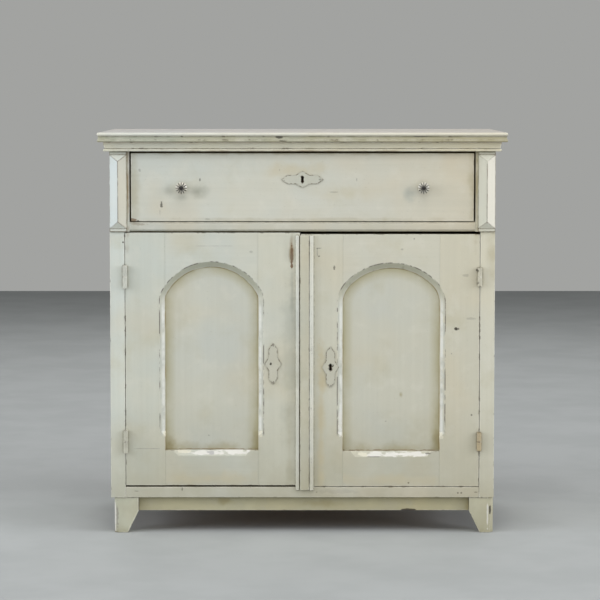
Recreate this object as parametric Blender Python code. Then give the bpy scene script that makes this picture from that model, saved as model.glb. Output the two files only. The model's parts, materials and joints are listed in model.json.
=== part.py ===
"""Painted pine sideboard: a wide drawer over two doors with arched panels.

The front looks towards -Y, +X is to the right as the viewer faces it, and the origin is on the
floor under the middle of the whole cabinet. Lengths are in metres.
"""
import math
from types import SimpleNamespace

import bmesh
import bpy
from mathutils import Matrix, Vector

# Clearances
SEAT_GAP = 0.0003
DRAWER_SIDE_GAP = 0.004
DRAWER_TOP_GAP = 0.0045
DRAWER_BOTTOM_GAP = 0.0012
DRAWER_SETBACK = 0.001
DRAWER_BACK_GAP = 0.004
GUIDE_GAP = 0.0015
DOOR_SIDE_GAP = 0.0025
DOOR_MEETING_GAP = 0.002
DOOR_BOTTOM_GAP = {"left": 0.0045, "right": 0.0015}
DOOR_TOP_GAP = {"left": 0.0035, "right": 0.0065}

# Carcass, from the floor up
CARCASS_WIDTH = 0.974
CARCASS_DEPTH = 0.490
FOOT_HEIGHT = 0.091
BOTTOM_RAIL_HEIGHT = 0.027
DOOR_OPENING_HEIGHT = 0.651
DRAWER_RAIL_HEIGHT = 0.025
DRAWER_OPENING_HEIGHT = 0.178
CORNICE_HEIGHT = 0.0235
TOP_THICKNESS = 0.024

# Carcass boards
SIDE_THICKNESS = 0.020
STILE_WIDTH = 0.037
STILE_SHOULDER = 0.013
STILE_THICKNESS = 0.022
RAIL_DEPTH = 0.070
RAIL_NOSE = 0.008
RAIL_NOSE_SEGMENTS = 4
TENON_LENGTH = 0.020
TENON_THICKNESS = 0.008
BOARD_THICKNESS = 0.018
HOUSING_DEPTH = 0.006
DOOR_STOP_HEIGHT = 0.008
SHELF_RISE = 0.314
SHELF_SETBACK = 0.060
BACK_THICKNESS = 0.012
BACK_REBATE_WIDTH = 0.010
BACK_LAP = 0.008
BACK_JOINT = 0.001
APRON_HEIGHT = 0.036
APRON_THICKNESS = 0.018
APRON_SETBACK = 0.017

# Top and cornice mouldings
TOP_OVERHANG = 0.029
CORNICE_OVERHANG = 0.015
NOSING_RADIUS = 0.0048
HOLLOW_DEPTH = 0.0026
TOP_BEAD_RADIUS = 0.0030
CORNICE_BEAD_RADIUS = 0.0032
CORNICE_QUIRK = 0.0016
CORNICE_LEAN = 0.003

# Feet and corner blocks
FOOT_WIDTH = 0.061
FOOT_FLOOR_WIDTH = 0.034
FOOT_STRAIGHT = 0.036
FOOT_SETBACK = 0.003
FOOT_INSET = {"left": 0.008, "right": 0.001}
FOOT_CHAMFER_TOP = 0.003
FOOT_CHAMFER_FLOOR = 0.010
FOOT_POST = 0.032
BLOCK_WIDTH = 0.0435
BLOCK_SLAB = 0.004
BLOCK_ROOF = 0.012
BLOCK_LEDGE = 0.008
BLOCK_HIP = 0.017

# Drawer
DRAWER_FRONT_THICKNESS = 0.022
DRAWER_WALL = 0.012
DRAWER_WALL_DROP = 0.014
DRAWER_BOTTOM_THICKNESS = 0.007
DRAWER_BOTTOM_LIFT = 0.010
DRAWER_GROOVE = 0.006
DOVETAIL_COUNT = 4
DOVETAIL_LENGTH = 0.014
DOVETAIL_FLARE = 0.0035
DOVETAIL_PIN = 0.010
RUNNER_WIDTH = 0.058
RUNNER_HEIGHT = 0.020
GUIDE_HEIGHT = 0.025
KNOB_INSET = 0.128
KNOB_DROP = 0.0875
KNOB_RADIUS = 0.015
KNOB_REACH = 0.026
KNOB_HEAD_HALF = 0.0085
KNOB_FOOT_RADIUS = 0.009
KNOB_FOOT_HEIGHT = 0.004
KNOB_NECK_RADIUS = 0.006
KNOB_SHANK_RADIUS = 0.004
KNOB_SHANK_LENGTH = 0.014
KNOB_SEGMENTS = 20

# Doors
MEETING_LINE = -0.005
DOOR_THICKNESS = 0.024
HINGE_STILE = 0.0995
MEETING_STILE = 0.1065
DOOR_TOP_RAIL = 0.0865
DOOR_BOTTOM_RAIL = 0.090
DOOR_TENON_LENGTH = 0.040
DOOR_TENON_SHOULDER = 0.008
ARCH_RISE = {"left": 0.084, "right": 0.090}
ARCH_SHOULDER = {"left": 0.036, "right": 0.066}
ARCH_CROWN_SEGMENTS = 36
ARCH_SHOULDER_SEGMENTS = 12
ARCH_BLUNT = 0.012
CHAMFER_WIDTH = 0.014
CHAMFER_DEPTH = 0.0095
CHAMFER_STOP = 0.012
SIDE_CHAMFER_RISE = 0.036
SILL_CHAMFER_INSET = 0.020
FRONT_LIP = 0.011
PANEL_THICKNESS = 0.007
PANEL_GROOVE = 0.010
PANEL_PLAY = 0.001
STRIP_TOP_DROP = 0.0095
STRIP_BOTTOM_DROP = 0.007
LEFT_BEAD_WIDTH = 0.011
LEFT_BEAD_PROUD = 0.007
LEFT_BEAD_INSET = 0.0006
ASTRAGAL_WIDTH = 0.021
ASTRAGAL_PROUD = 0.007
ASTRAGAL_BEAD_WIDTH = 0.0115
ASTRAGAL_BEAD_PROUD = 0.011
STRIP_END_ROUND = 0.0012
STRIP_SEGMENTS = 10

# Hinges, locks and bolts
HINGE_HEIGHT = {"left": 0.058, "right": 0.048}
HINGE_RADIUS = 0.006
HINGE_PIN_RADIUS = 0.0025
HINGE_PIN_GAP = 0.0002
HINGE_CAP = 0.004
HINGE_LEAF = 0.0018
HINGE_LEAF_DEPTH = 0.018
HINGE_DROP = 0.114
HINGE_RISE = 0.117
HINGE_SEGMENTS = 16
ESCUTCHEON_LENGTH = 0.106
ESCUTCHEON_WIDTH = 0.043
ESCUTCHEON_ARM_WIDTH = 0.022
ESCUTCHEON_ARM_LENGTH = 0.076
ESCUTCHEON_BELLY = 0.034
ESCUTCHEON_THICKNESS = 0.0016
KEYHOLE_HEIGHT = 0.018
KEYHOLE_RADIUS = 0.0039
KEYHOLE_WAIST = 35
KEYHOLE_SEGMENTS = 10
DRAWER_KEY_DROP = 0.0665
DOOR_KEY_INSET = {"left": 0.0686, "right": 0.0751}
DOOR_KEY_RISE = {"left": 0.3107, "right": 0.3049}
LOCK_WIDTH = 0.062
LOCK_MARGIN = 0.016
LOCK_THICKNESS = 0.010
LOCK_BED = 0.010
LOCK_KEY_DEPTH = 0.006
BOLT_WIDTH = 0.022
BOLT_THICKNESS = 0.0045
BOLT_LENGTH = 0.016
DRAWER_BOLT_THROW = 0.009
DOOR_BOLT_THROW = 0.010
SLIDE_BOLT_WIDTH = 0.012
SLIDE_BOLT_THICKNESS = 0.005
SLIDE_BOLT_LENGTH = 0.090
SLIDE_BOLT_THROW = 0.014
SLIDE_BOLT_INSET = 0.040
SLIDE_BOLT_DROP = 0.003
SLIDE_KNOB_RADIUS = 0.005
SLIDE_KNOB_REACH = 0.012
GUIDE_LENGTH = 0.060
GUIDE_FLANGE = 0.009
GUIDE_WALL = 0.0015
MORTISE_SPARE = 0.003
MORTISE_SIDE_GAP = 0.001

# Levels and planes worked out from the driving sizes
CUT_SPARE = 0.010
CUT_OVERRUN = 0.5
HALF_WIDTH = CARCASS_WIDTH / 2
FRONT_REACH = max(TOP_OVERHANG, KNOB_REACH - DRAWER_SETBACK)
FRONT = -(FRONT_REACH + CARCASS_DEPTH) / 2 + FRONT_REACH
BACK = FRONT + CARCASS_DEPTH
BACK_FACE = BACK - BACK_THICKNESS
RAIL_TOP = FOOT_HEIGHT + BOTTOM_RAIL_HEIGHT
DRAWER_RAIL = RAIL_TOP + DOOR_OPENING_HEIGHT
DRAWER_SILL = DRAWER_RAIL + DRAWER_RAIL_HEIGHT
DRAWER_HEAD = DRAWER_SILL + DRAWER_OPENING_HEIGHT
TOP_SEAT = DRAWER_HEAD + CORNICE_HEIGHT
INNER_HALF = HALF_WIDTH - SIDE_THICKNESS
DOOR_JAMB = HALF_WIDTH - STILE_WIDTH
DRAWER_JAMB = DOOR_JAMB - STILE_SHOULDER
STILE_BACK = FRONT + STILE_THICKNESS
FLOOR_TOP = RAIL_TOP + DOOR_STOP_HEIGHT
FLOOR_UNDER = FLOOR_TOP - BOARD_THICKNESS
SHELF_UNDER = FLOOR_TOP + SHELF_RISE
FLOOR_FRONT = FRONT + max(STILE_THICKNESS, DOOR_THICKNESS) + 2 * SEAT_GAP
TENON_FRONT = FRONT + (STILE_THICKNESS - TENON_THICKNESS) / 2
TENON_BACK = TENON_FRONT + TENON_THICKNESS
SIDES = {"left": -1, "right": 1}


def clear_scene():
    """Remove what the open file holds."""
    for old in list(bpy.data.objects):
        bpy.data.objects.remove(old, do_unlink=True)


def make_material(name, colour, roughness, metallic=0.0):
    """A Principled material with one colour."""
    material = bpy.data.materials.new(name)
    material.use_nodes = True
    shader = material.node_tree.nodes["Principled BSDF"]
    shader.inputs["Base Color"].default_value = (*colour, 1.0)
    shader.inputs["Roughness"].default_value = roughness
    shader.inputs["Metallic"].default_value = metallic
    return material


def make_axis(name, place):
    """An empty on a joint's axis, which carries the pieces that move there."""
    axis = bpy.data.objects.new(name, None)
    axis.location = place
    bpy.context.collection.objects.link(axis)
    return axis


def make_object(name, bm, material=None, parent=None):
    """Turn a bmesh, drawn in the cabinet's own frame, into a named object on its carrier."""
    bmesh.ops.recalc_face_normals(bm, faces=bm.faces)
    mesh = bpy.data.meshes.new(name)
    bm.to_mesh(mesh)
    bm.free()
    piece = bpy.data.objects.new(name, mesh)
    bpy.context.collection.objects.link(piece)
    if material is not None:
        mesh.materials.append(material)
    if parent is not None:
        piece.parent = parent
        piece.location = -parent.location
    return piece


def combine(piece, bm, operation="DIFFERENCE"):
    """Cut a bmesh out of a piece, or weld it on, with a live Boolean."""
    count = len(piece.modifiers)
    tool = make_object(f"tool_{piece.name}_{count}", bm, parent=piece.parent)
    tool.hide_render = True
    tool.display_type = "WIRE"
    step = piece.modifiers.new(f"{operation.lower()}_{count}", "BOOLEAN")
    step.operation = operation
    step.solver = "EXACT"
    step.object = tool
    return piece


def add_box(bm, low, high):
    """A box between two corners."""
    low = Vector(low)
    high = Vector(high)
    place = Matrix.Translation((low + high) / 2) @ Matrix.Diagonal((*(high - low), 1))
    return bmesh.ops.create_cube(bm, size=1, matrix=place)["verts"]


def add_prism(bm, outline, run):
    """A flat outline, swept along a straight run."""
    face = bm.faces.new([bm.verts.new(point) for point in outline])
    swept = bmesh.ops.extrude_face_region(bm, geom=[face])["geom"]
    moved = [item for item in swept if isinstance(item, bmesh.types.BMVert)]
    bmesh.ops.translate(bm, verts=moved, vec=run)
    return moved


def add_cylinder(bm, start, end, radius, segments, end_radius=None):
    """A round bar or cone frustum between two points."""
    start = Vector(start)
    run = Vector(end) - start
    turn = run.to_track_quat("Z", "Y").to_matrix().to_4x4()
    place = Matrix.Translation(start + run / 2) @ turn
    last = radius if end_radius is None else end_radius
    bmesh.ops.create_cone(bm, cap_ends=True, segments=segments, radius1=radius, radius2=last,
                          depth=run.length, matrix=place)


def add_hull(bm, points):
    """The convex solid around a few points."""
    corners = [bm.verts.new(point) for point in points]
    bmesh.ops.convex_hull(bm, input=corners)


def box_bmesh(low, high):
    """One box as a new bmesh."""
    bm = bmesh.new()
    add_box(bm, low, high)
    return bm


def prism_bmesh(outline, run):
    """One prism as a new bmesh."""
    bm = bmesh.new()
    add_prism(bm, outline, run)
    return bm


def grown(low, high, gap=SEAT_GAP):
    """The corners of a box with a gap added all round."""
    reach = Vector((gap, gap, gap))
    return Vector(low) - reach, Vector(high) + reach


def arc(centre, radius, first, last, steps):
    """Points of an arc in a flat outline, angles in degrees."""
    points = []
    for step in range(steps + 1):
        angle = math.radians(first + (last - first) * step / steps)
        points.append((centre[0] + radius * math.cos(angle), centre[1] + radius * math.sin(angle)))
    return points


clear_scene()
PAINT = make_material("sage_paint", (0.52, 0.53, 0.44), 0.55)
PINE = make_material("old_pine", (0.45, 0.29, 0.15), 0.6)
PAINTED_IRON = make_material("painted_iron", (0.50, 0.50, 0.41), 0.5)
IRON = make_material("old_iron", (0.10, 0.09, 0.08), 0.45, 1.0)
HORN = make_material("ivory_horn", (0.62, 0.57, 0.45), 0.3)


# Top board
def top_profile():
    """The moulded edge from the bottom up, as (inset from the full reach, height) pairs."""
    bead = arc((TOP_BEAD_RADIUS, TOP_BEAD_RADIUS), TOP_BEAD_RADIUS, 270, 90, 6)
    bead_top = 2 * TOP_BEAD_RADIUS
    hollow_half = (TOP_THICKNESS - 2 * NOSING_RADIUS - bead_top) / 2
    hollow = [(HOLLOW_DEPTH * math.cos(math.radians(angle)),
               bead_top + hollow_half + hollow_half * math.sin(math.radians(angle)))
              for angle in range(-60, 61, 20)]
    nosing = arc((NOSING_RADIUS, TOP_THICKNESS - NOSING_RADIUS), NOSING_RADIUS, 270, 90, 8)
    return bead + hollow + nosing


def make_top_board():
    """A board whose moulded edge is drawn up ring by ring on the front and the two ends."""
    half = HALF_WIDTH + TOP_OVERHANG
    front = FRONT - TOP_OVERHANG
    rings = []
    for inset, height in top_profile():
        level = TOP_SEAT + SEAT_GAP + height
        rings.append([(-half + inset, front + inset, level), (half - inset, front + inset, level),
                      (half - inset, BACK, level), (-half + inset, BACK, level)])
    bm = bmesh.new()
    loops = []
    for ring in rings:
        verts = [bm.verts.new(corner) for corner in ring]
        loops += [bm.edges.new((verts[index - 1], verts[index])) for index in range(len(verts))]
    bmesh.ops.bridge_loops(bm, edges=loops)
    bmesh.ops.holes_fill(bm, edges=[edge for edge in bm.edges if edge.is_boundary])
    make_object("top_board", bm, PAINT)


# Cornice under the top
def cornice_profile():
    """The cornice section from the bottom up, as (reach from the carcass, height) pairs."""
    bead_centre = (CORNICE_OVERHANG - CORNICE_BEAD_RADIUS, CORNICE_BEAD_RADIUS)
    bead = arc(bead_centre, CORNICE_BEAD_RADIUS, -90, 90, 8)
    bead_top = 2 * CORNICE_BEAD_RADIUS
    fascia = CORNICE_OVERHANG - CORNICE_LEAN
    quirk = [(fascia - CORNICE_QUIRK, bead_top), (fascia - CORNICE_QUIRK, bead_top + CORNICE_QUIRK)]
    upper = [(fascia, bead_top + CORNICE_QUIRK), (CORNICE_OVERHANG, CORNICE_HEIGHT)]
    inner = [(SEAT_GAP, CORNICE_HEIGHT), (SEAT_GAP, 0.0)]
    return bead + quirk + upper + inner


def make_cornice():
    """Three mitred lengths: one across the front and one along each side."""
    profile = cornice_profile()
    bm = bmesh.new()
    left_end = [(-HALF_WIDTH - out + SEAT_GAP, FRONT - out, DRAWER_HEAD + up) for out, up in profile]
    for vert in add_prism(bm, left_end, (CARCASS_WIDTH, 0, 0)):
        vert.co.x = HALF_WIDTH + (FRONT - vert.co.y) - SEAT_GAP
    make_object("cornice_front", bm, PAINT)
    for side, sign in SIDES.items():
        bm = bmesh.new()
        front_end = [(sign * (HALF_WIDTH + out), FRONT - out + SEAT_GAP, DRAWER_HEAD + up)
                     for out, up in profile]
        for vert in add_prism(bm, front_end, (0, CARCASS_DEPTH, 0)):
            vert.co.y = BACK
        make_object(f"cornice_{side}", bm, PAINT)


# Carcass frame
def make_frame_rail(name, jamb, depth, low, high, nose=0.0):
    """A cross rail of the front with a tenon at each end and, where a nose is given, rounded front edges."""
    half = jamb - SEAT_GAP
    tip = half + TENON_LENGTH
    right = [(half, FRONT), (half, TENON_FRONT), (tip, TENON_FRONT), (tip, TENON_BACK),
             (half, TENON_BACK), (half, FRONT + depth)]
    left = [(-x, y) for x, y in reversed(right)]
    outline = [(x, y, low) for x, y in right + left]
    bm = prism_bmesh(outline, (0, 0, high - low))
    if nose:
        long_edges = [edge for edge in bm.edges if edge.calc_length() > half
                      and all(abs(vert.co.y - FRONT) < SEAT_GAP for vert in edge.verts)]
        bmesh.ops.bevel(bm, geom=long_edges, offset=nose, affect="EDGES", segments=RAIL_NOSE_SEGMENTS,
                        profile=0.5, material=-1, clamp_overlap=True)
    return make_object(name, bm, PAINT)


def make_stile(side, sign):
    """A front stile with its wide drawer shoulder, mortised for the three rails."""
    corners = [(HALF_WIDTH, FOOT_HEIGHT), (DOOR_JAMB, FOOT_HEIGHT), (DOOR_JAMB, DRAWER_RAIL),
               (DRAWER_JAMB, DRAWER_RAIL), (DRAWER_JAMB, TOP_SEAT), (HALF_WIDTH, TOP_SEAT)]
    outline = [(sign * x, FRONT, z) for x, z in corners]
    stile = make_object(f"{side}_front_stile", prism_bmesh(outline, (0, STILE_THICKNESS, 0)), PAINT)
    mortises = [(DOOR_JAMB, FOOT_HEIGHT - CUT_SPARE, RAIL_TOP),
                (DRAWER_JAMB, DRAWER_RAIL, DRAWER_SILL),
                (DRAWER_JAMB, DRAWER_HEAD, TOP_SEAT + CUT_SPARE)]
    for jamb, low, high in mortises:
        ends = sorted([sign * (jamb - CUT_SPARE), sign * (jamb + TENON_LENGTH)])
        combine(stile, box_bmesh(*grown((ends[0], TENON_FRONT, low), (ends[1], TENON_BACK, high))))
    return stile


def make_side(side, sign):
    """A side board, housed for the floor and the shelf and rebated for the back."""
    inner = sign * INNER_HALF
    span = sorted([inner, sign * HALF_WIDTH])
    board = make_object(f"{side}_side", box_bmesh((span[0], STILE_BACK + SEAT_GAP, FOOT_HEIGHT),
                                                  (span[1], BACK, TOP_SEAT)), PAINT)
    housing = sorted([inner - sign * CUT_SPARE, inner + sign * HOUSING_DEPTH])
    cuts = bmesh.new()
    for level, start in ((FLOOR_UNDER, STILE_BACK - CUT_SPARE), (SHELF_UNDER, FRONT + SHELF_SETBACK)):
        add_box(cuts, (housing[0], start, level - SEAT_GAP),
                (housing[1], BACK_FACE, level + BOARD_THICKNESS + SEAT_GAP))
    combine(board, cuts)
    rebate = sorted([inner - sign * CUT_SPARE, inner + sign * BACK_REBATE_WIDTH])
    combine(board, box_bmesh((rebate[0], BACK_FACE - SEAT_GAP, FOOT_HEIGHT - CUT_SPARE),
                             (rebate[1], BACK + CUT_SPARE, TOP_SEAT + CUT_SPARE)))


def make_shelves():
    """The cupboard floor and the one shelf, with their ends in the side housings."""
    half = INNER_HALF + HOUSING_DEPTH - SEAT_GAP
    rear = BACK_FACE - 2 * SEAT_GAP
    boards = {"bottom_board": (FLOOR_FRONT, FLOOR_UNDER),
              "shelf": (FRONT + SHELF_SETBACK + SEAT_GAP, SHELF_UNDER)}
    for name, (start, level) in boards.items():
        make_object(name, box_bmesh((-half, start, level), (half, rear, level + BOARD_THICKNESS)), PINE)


def make_back():
    """Two upright back boards, lapped over each other along the middle."""
    half = INNER_HALF + BACK_REBATE_WIDTH - SEAT_GAP
    lap_plane = BACK - BACK_THICKNESS / 2
    left = [(-half, BACK_FACE), (-BACK_JOINT, BACK_FACE), (-BACK_JOINT, lap_plane + SEAT_GAP),
            (BACK_LAP - BACK_JOINT, lap_plane + SEAT_GAP), (BACK_LAP - BACK_JOINT, BACK), (-half, BACK)]
    right = [(half, BACK), (BACK_LAP, BACK), (BACK_LAP, lap_plane), (0.0, lap_plane), (0.0, BACK_FACE),
             (half, BACK_FACE)]
    for side, corners in (("left", left), ("right", right)):
        outline = [(x, y, FOOT_HEIGHT) for x, y in corners]
        make_object(f"back_board_{side}", prism_bmesh(outline, (0, 0, TOP_SEAT - FOOT_HEIGHT)), PINE)


# Trim of the carcass
def make_corner_block(side, sign):
    """A slab with a hipped roof on its face, one beside each end of the drawer."""
    near = HALF_WIDTH - BLOCK_WIDTH
    span = sorted([sign * near, sign * HALF_WIDTH])
    low = DRAWER_RAIL
    high = DRAWER_HEAD - SEAT_GAP
    face = FRONT - SEAT_GAP - BLOCK_SLAB
    bm = box_bmesh((span[0], face, low), (span[1], FRONT - SEAT_GAP, high))
    for level in (low + BLOCK_LEDGE, high - BLOCK_LEDGE):
        bmesh.ops.bisect_plane(bm, geom=bm.verts[:] + bm.edges[:] + bm.faces[:],
                               plane_co=(0, 0, level), plane_no=(0, 0, 1))
    middle = (low + high) / 2
    front_faces = [f for f in bm.faces if abs(f.calc_center_median().y - face) < SEAT_GAP]
    field = min(front_faces, key=lambda f: abs(f.calc_center_median().z - middle))
    roof = bmesh.ops.extrude_discrete_faces(bm, faces=[field])["faces"][0]
    for vert in roof.verts:
        vert.co.x = (span[0] + span[1]) / 2
        vert.co.y = face - BLOCK_ROOF
        vert.co.z += BLOCK_HIP if vert.co.z < middle else -BLOCK_HIP
    bmesh.ops.remove_doubles(bm, verts=bm.verts, dist=SEAT_GAP)
    make_object(f"{side}_corner_block", bm, PAINT)


def make_foot(row, side):
    """A foot tapered on its two inner faces, with a post into the corner of the carcass above."""
    sign = SIDES[side]
    depth_sign = -1 if row == "front" else 1
    edge_x = HALF_WIDTH - FOOT_INSET[side]
    edge_y = FRONT + FOOT_SETBACK if row == "front" else BACK - FOOT_SETBACK
    start_x = sign * edge_x
    inner_x = start_x - sign * FOOT_WIDTH
    inner_y = edge_y - depth_sign * FOOT_WIDTH
    span_x = sorted([start_x, inner_x])
    span_y = sorted([edge_y, inner_y])
    bm = box_bmesh((span_x[0], span_y[0], 0.0), (span_x[1], span_y[1], FOOT_HEIGHT - SEAT_GAP))
    bmesh.ops.bisect_plane(bm, geom=bm.verts[:] + bm.edges[:] + bm.faces[:],
                           plane_co=(0, 0, FOOT_HEIGHT - FOOT_STRAIGHT), plane_no=(0, 0, 1))
    taper = FOOT_WIDTH - FOOT_FLOOR_WIDTH
    for vert in bm.verts:
        if vert.co.z < SEAT_GAP:
            if abs(vert.co.x - inner_x) < SEAT_GAP:
                vert.co.x += sign * taper
            if abs(vert.co.y - inner_y) < SEAT_GAP:
                vert.co.y += depth_sign * taper
    foot = make_object(f"foot_{row}_{side}", bm, PAINT)
    corner = Vector((start_x, edge_y, 0))
    chamfer = bmesh.new()
    points = []
    for level, size in ((-CUT_SPARE, FOOT_CHAMFER_FLOOR), (FOOT_HEIGHT + CUT_SPARE, FOOT_CHAMFER_TOP)):
        spare = size + CUT_SPARE
        points.append(corner + Vector((-sign * spare, depth_sign * CUT_SPARE, level)))
        points.append(corner + Vector((sign * CUT_SPARE, -depth_sign * spare, level)))
        points.append(corner + Vector((sign * CUT_SPARE, depth_sign * CUT_SPARE, level)))
    add_hull(chamfer, points)
    combine(foot, chamfer)
    post_x = sorted([sign * (INNER_HALF - SEAT_GAP), sign * (INNER_HALF - FOOT_POST)])
    post_edge = STILE_BACK + SEAT_GAP if row == "front" else BACK_FACE - SEAT_GAP
    post_y = sorted([post_edge, post_edge - depth_sign * FOOT_POST])
    post = box_bmesh((post_x[0], post_y[0], FOOT_HEIGHT - FOOT_STRAIGHT / 2),
                     (post_x[1], post_y[1], FLOOR_UNDER - SEAT_GAP))
    combine(foot, post, "UNION")


def make_apron():
    """The strip between the front feet, set back under the bottom rail."""
    ends = [sign * (HALF_WIDTH - FOOT_INSET[side] - FOOT_WIDTH - SEAT_GAP) for side, sign in SIDES.items()]
    front = FRONT + APRON_SETBACK
    apron = box_bmesh((ends[0], front, FOOT_HEIGHT - APRON_HEIGHT),
                      (ends[1], front + APRON_THICKNESS, FOOT_HEIGHT - SEAT_GAP))
    make_object("front_apron", apron, PAINT)


# Shapes shared by the drawer and the doors
def keyhole_bmesh(place, depth):
    """A tall keyhole with a round eye at each end, swept back from its place."""
    offset = KEYHOLE_HEIGHT / 2 - KEYHOLE_RADIUS
    eyes = (arc((0, offset), KEYHOLE_RADIUS, -KEYHOLE_WAIST, 180 + KEYHOLE_WAIST, KEYHOLE_SEGMENTS)
            + arc((0, -offset), KEYHOLE_RADIUS, 180 - KEYHOLE_WAIST, 360 + KEYHOLE_WAIST, KEYHOLE_SEGMENTS))
    outline = [Vector(place) + Vector((x, 0, z)) for x, z in eyes]
    return prism_bmesh(outline, (0, depth, 0))


def make_escutcheon(name, place, upright, parent, keyhole=True):
    """A flat iron plate with a pointed belly and two pointed arms."""
    tip = ESCUTCHEON_LENGTH / 2
    arm = ESCUTCHEON_ARM_LENGTH / 2
    half_arm = ESCUTCHEON_ARM_WIDTH / 2
    quarter = [(tip, 0), (arm, half_arm), (ESCUTCHEON_BELLY / 2, half_arm), (0, ESCUTCHEON_WIDTH / 2)]
    upper = quarter + [(-x, z) for x, z in reversed(quarter[:-1])]
    outline = upper + [(x, -z) for x, z in reversed(upper[1:-1])]
    if upright:
        outline = [(-z, x) for x, z in outline]
    start = Vector(place) - Vector((0, SEAT_GAP, 0))
    points = [start + Vector((x, 0, z)) for x, z in outline]
    plate = make_object(name, prism_bmesh(points, (0, -ESCUTCHEON_THICKNESS, 0)), PAINTED_IRON, parent)
    if keyhole:
        front = start - Vector((0, ESCUTCHEON_THICKNESS + CUT_SPARE, 0))
        combine(plate, keyhole_bmesh(front, ESCUTCHEON_THICKNESS + 2 * CUT_SPARE))
    return plate


# Drawer
DRAWER_FACE = FRONT + DRAWER_SETBACK
DRAWER_JOINT = DRAWER_FACE + DRAWER_FRONT_THICKNESS
DRAWER_HALF = DRAWER_JAMB - DRAWER_SIDE_GAP
DRAWER_INNER = DRAWER_HALF - DRAWER_WALL
DRAWER_LOW = DRAWER_SILL + DRAWER_BOTTOM_GAP
DRAWER_HIGH = DRAWER_HEAD - DRAWER_TOP_GAP
DRAWER_WALL_TOP = DRAWER_HIGH - DRAWER_WALL_DROP
DRAWER_REAR = BACK_FACE - DRAWER_BACK_GAP
DRAWER_PANEL_LOW = DRAWER_LOW + DRAWER_BOTTOM_LIFT
DRAWER_PANEL_TOP = DRAWER_PANEL_LOW + DRAWER_BOTTOM_THICKNESS
DRAWER_KEY_HEIGHT = DRAWER_HIGH - DRAWER_KEY_DROP
KNOB_HEIGHT = DRAWER_HIGH - KNOB_DROP
KNOB_HALF_SPACING = DRAWER_HALF - KNOB_INSET
LOCK_PLANE = DRAWER_JOINT - LOCK_BED
DRAWER_LOCK_LOW = DRAWER_KEY_HEIGHT - LOCK_MARGIN


def dovetails(gap):
    """The tails on the front end of a drawer side, as (low, high) pairs at root and tip."""
    pitch = (DRAWER_WALL_TOP - DRAWER_LOW) / DOVETAIL_COUNT
    for index in range(DOVETAIL_COUNT):
        low = DRAWER_LOW + index * pitch + DOVETAIL_PIN / 2 - gap
        high = DRAWER_LOW + (index + 1) * pitch - DOVETAIL_PIN / 2 + gap
        yield low, high, low - DOVETAIL_FLARE, high + DOVETAIL_FLARE


def make_drawer_front(parent):
    """The show board, socketed for the tails and bedded for the lock, its key and the knobs."""
    front = make_object("drawer_front", box_bmesh((-DRAWER_HALF, DRAWER_FACE, DRAWER_LOW),
                                                  (DRAWER_HALF, DRAWER_JOINT, DRAWER_HIGH)), PAINT, parent)
    sockets = bmesh.new()
    tip = DRAWER_JOINT - DOVETAIL_LENGTH - SEAT_GAP
    rear = DRAWER_JOINT + CUT_SPARE
    pinch = DOVETAIL_FLARE * (rear - tip) / (DRAWER_JOINT - tip)
    for sign in SIDES.values():
        start = sign * (DRAWER_INNER - SEAT_GAP)
        for _, _, tip_low, tip_high in dovetails(SEAT_GAP):
            outline = [(rear, tip_low + pinch), (tip, tip_low), (tip, tip_high), (rear, tip_high - pinch)]
            add_prism(sockets, [(start, y, z) for y, z in outline], (sign * (DRAWER_WALL + CUT_SPARE), 0, 0))
    combine(front, sockets)
    groove_half = DRAWER_INNER
    beds = bmesh.new()
    add_box(beds, *grown((-groove_half, DRAWER_JOINT - DRAWER_GROOVE, DRAWER_PANEL_LOW),
                         (groove_half, DRAWER_JOINT + CUT_SPARE, DRAWER_PANEL_TOP)))
    add_box(beds, *grown((-LOCK_WIDTH / 2, LOCK_PLANE, DRAWER_LOCK_LOW),
                         (LOCK_WIDTH / 2, DRAWER_JOINT + CUT_SPARE, DRAWER_HIGH + CUT_SPARE)))
    for sign in SIDES.values():
        knob = Vector((sign * KNOB_HALF_SPACING, DRAWER_FACE, KNOB_HEIGHT))
        add_cylinder(beds, knob - Vector((0, CUT_SPARE, 0)),
                     knob + Vector((0, KNOB_SHANK_LENGTH + SEAT_GAP, 0)),
                     KNOB_SHANK_RADIUS + SEAT_GAP, KNOB_SEGMENTS)
    combine(front, beds)
    key = (0, DRAWER_FACE - CUT_SPARE, DRAWER_KEY_HEIGHT)
    combine(front, keyhole_bmesh(key, DRAWER_FRONT_THICKNESS + CUT_SPARE))


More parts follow.
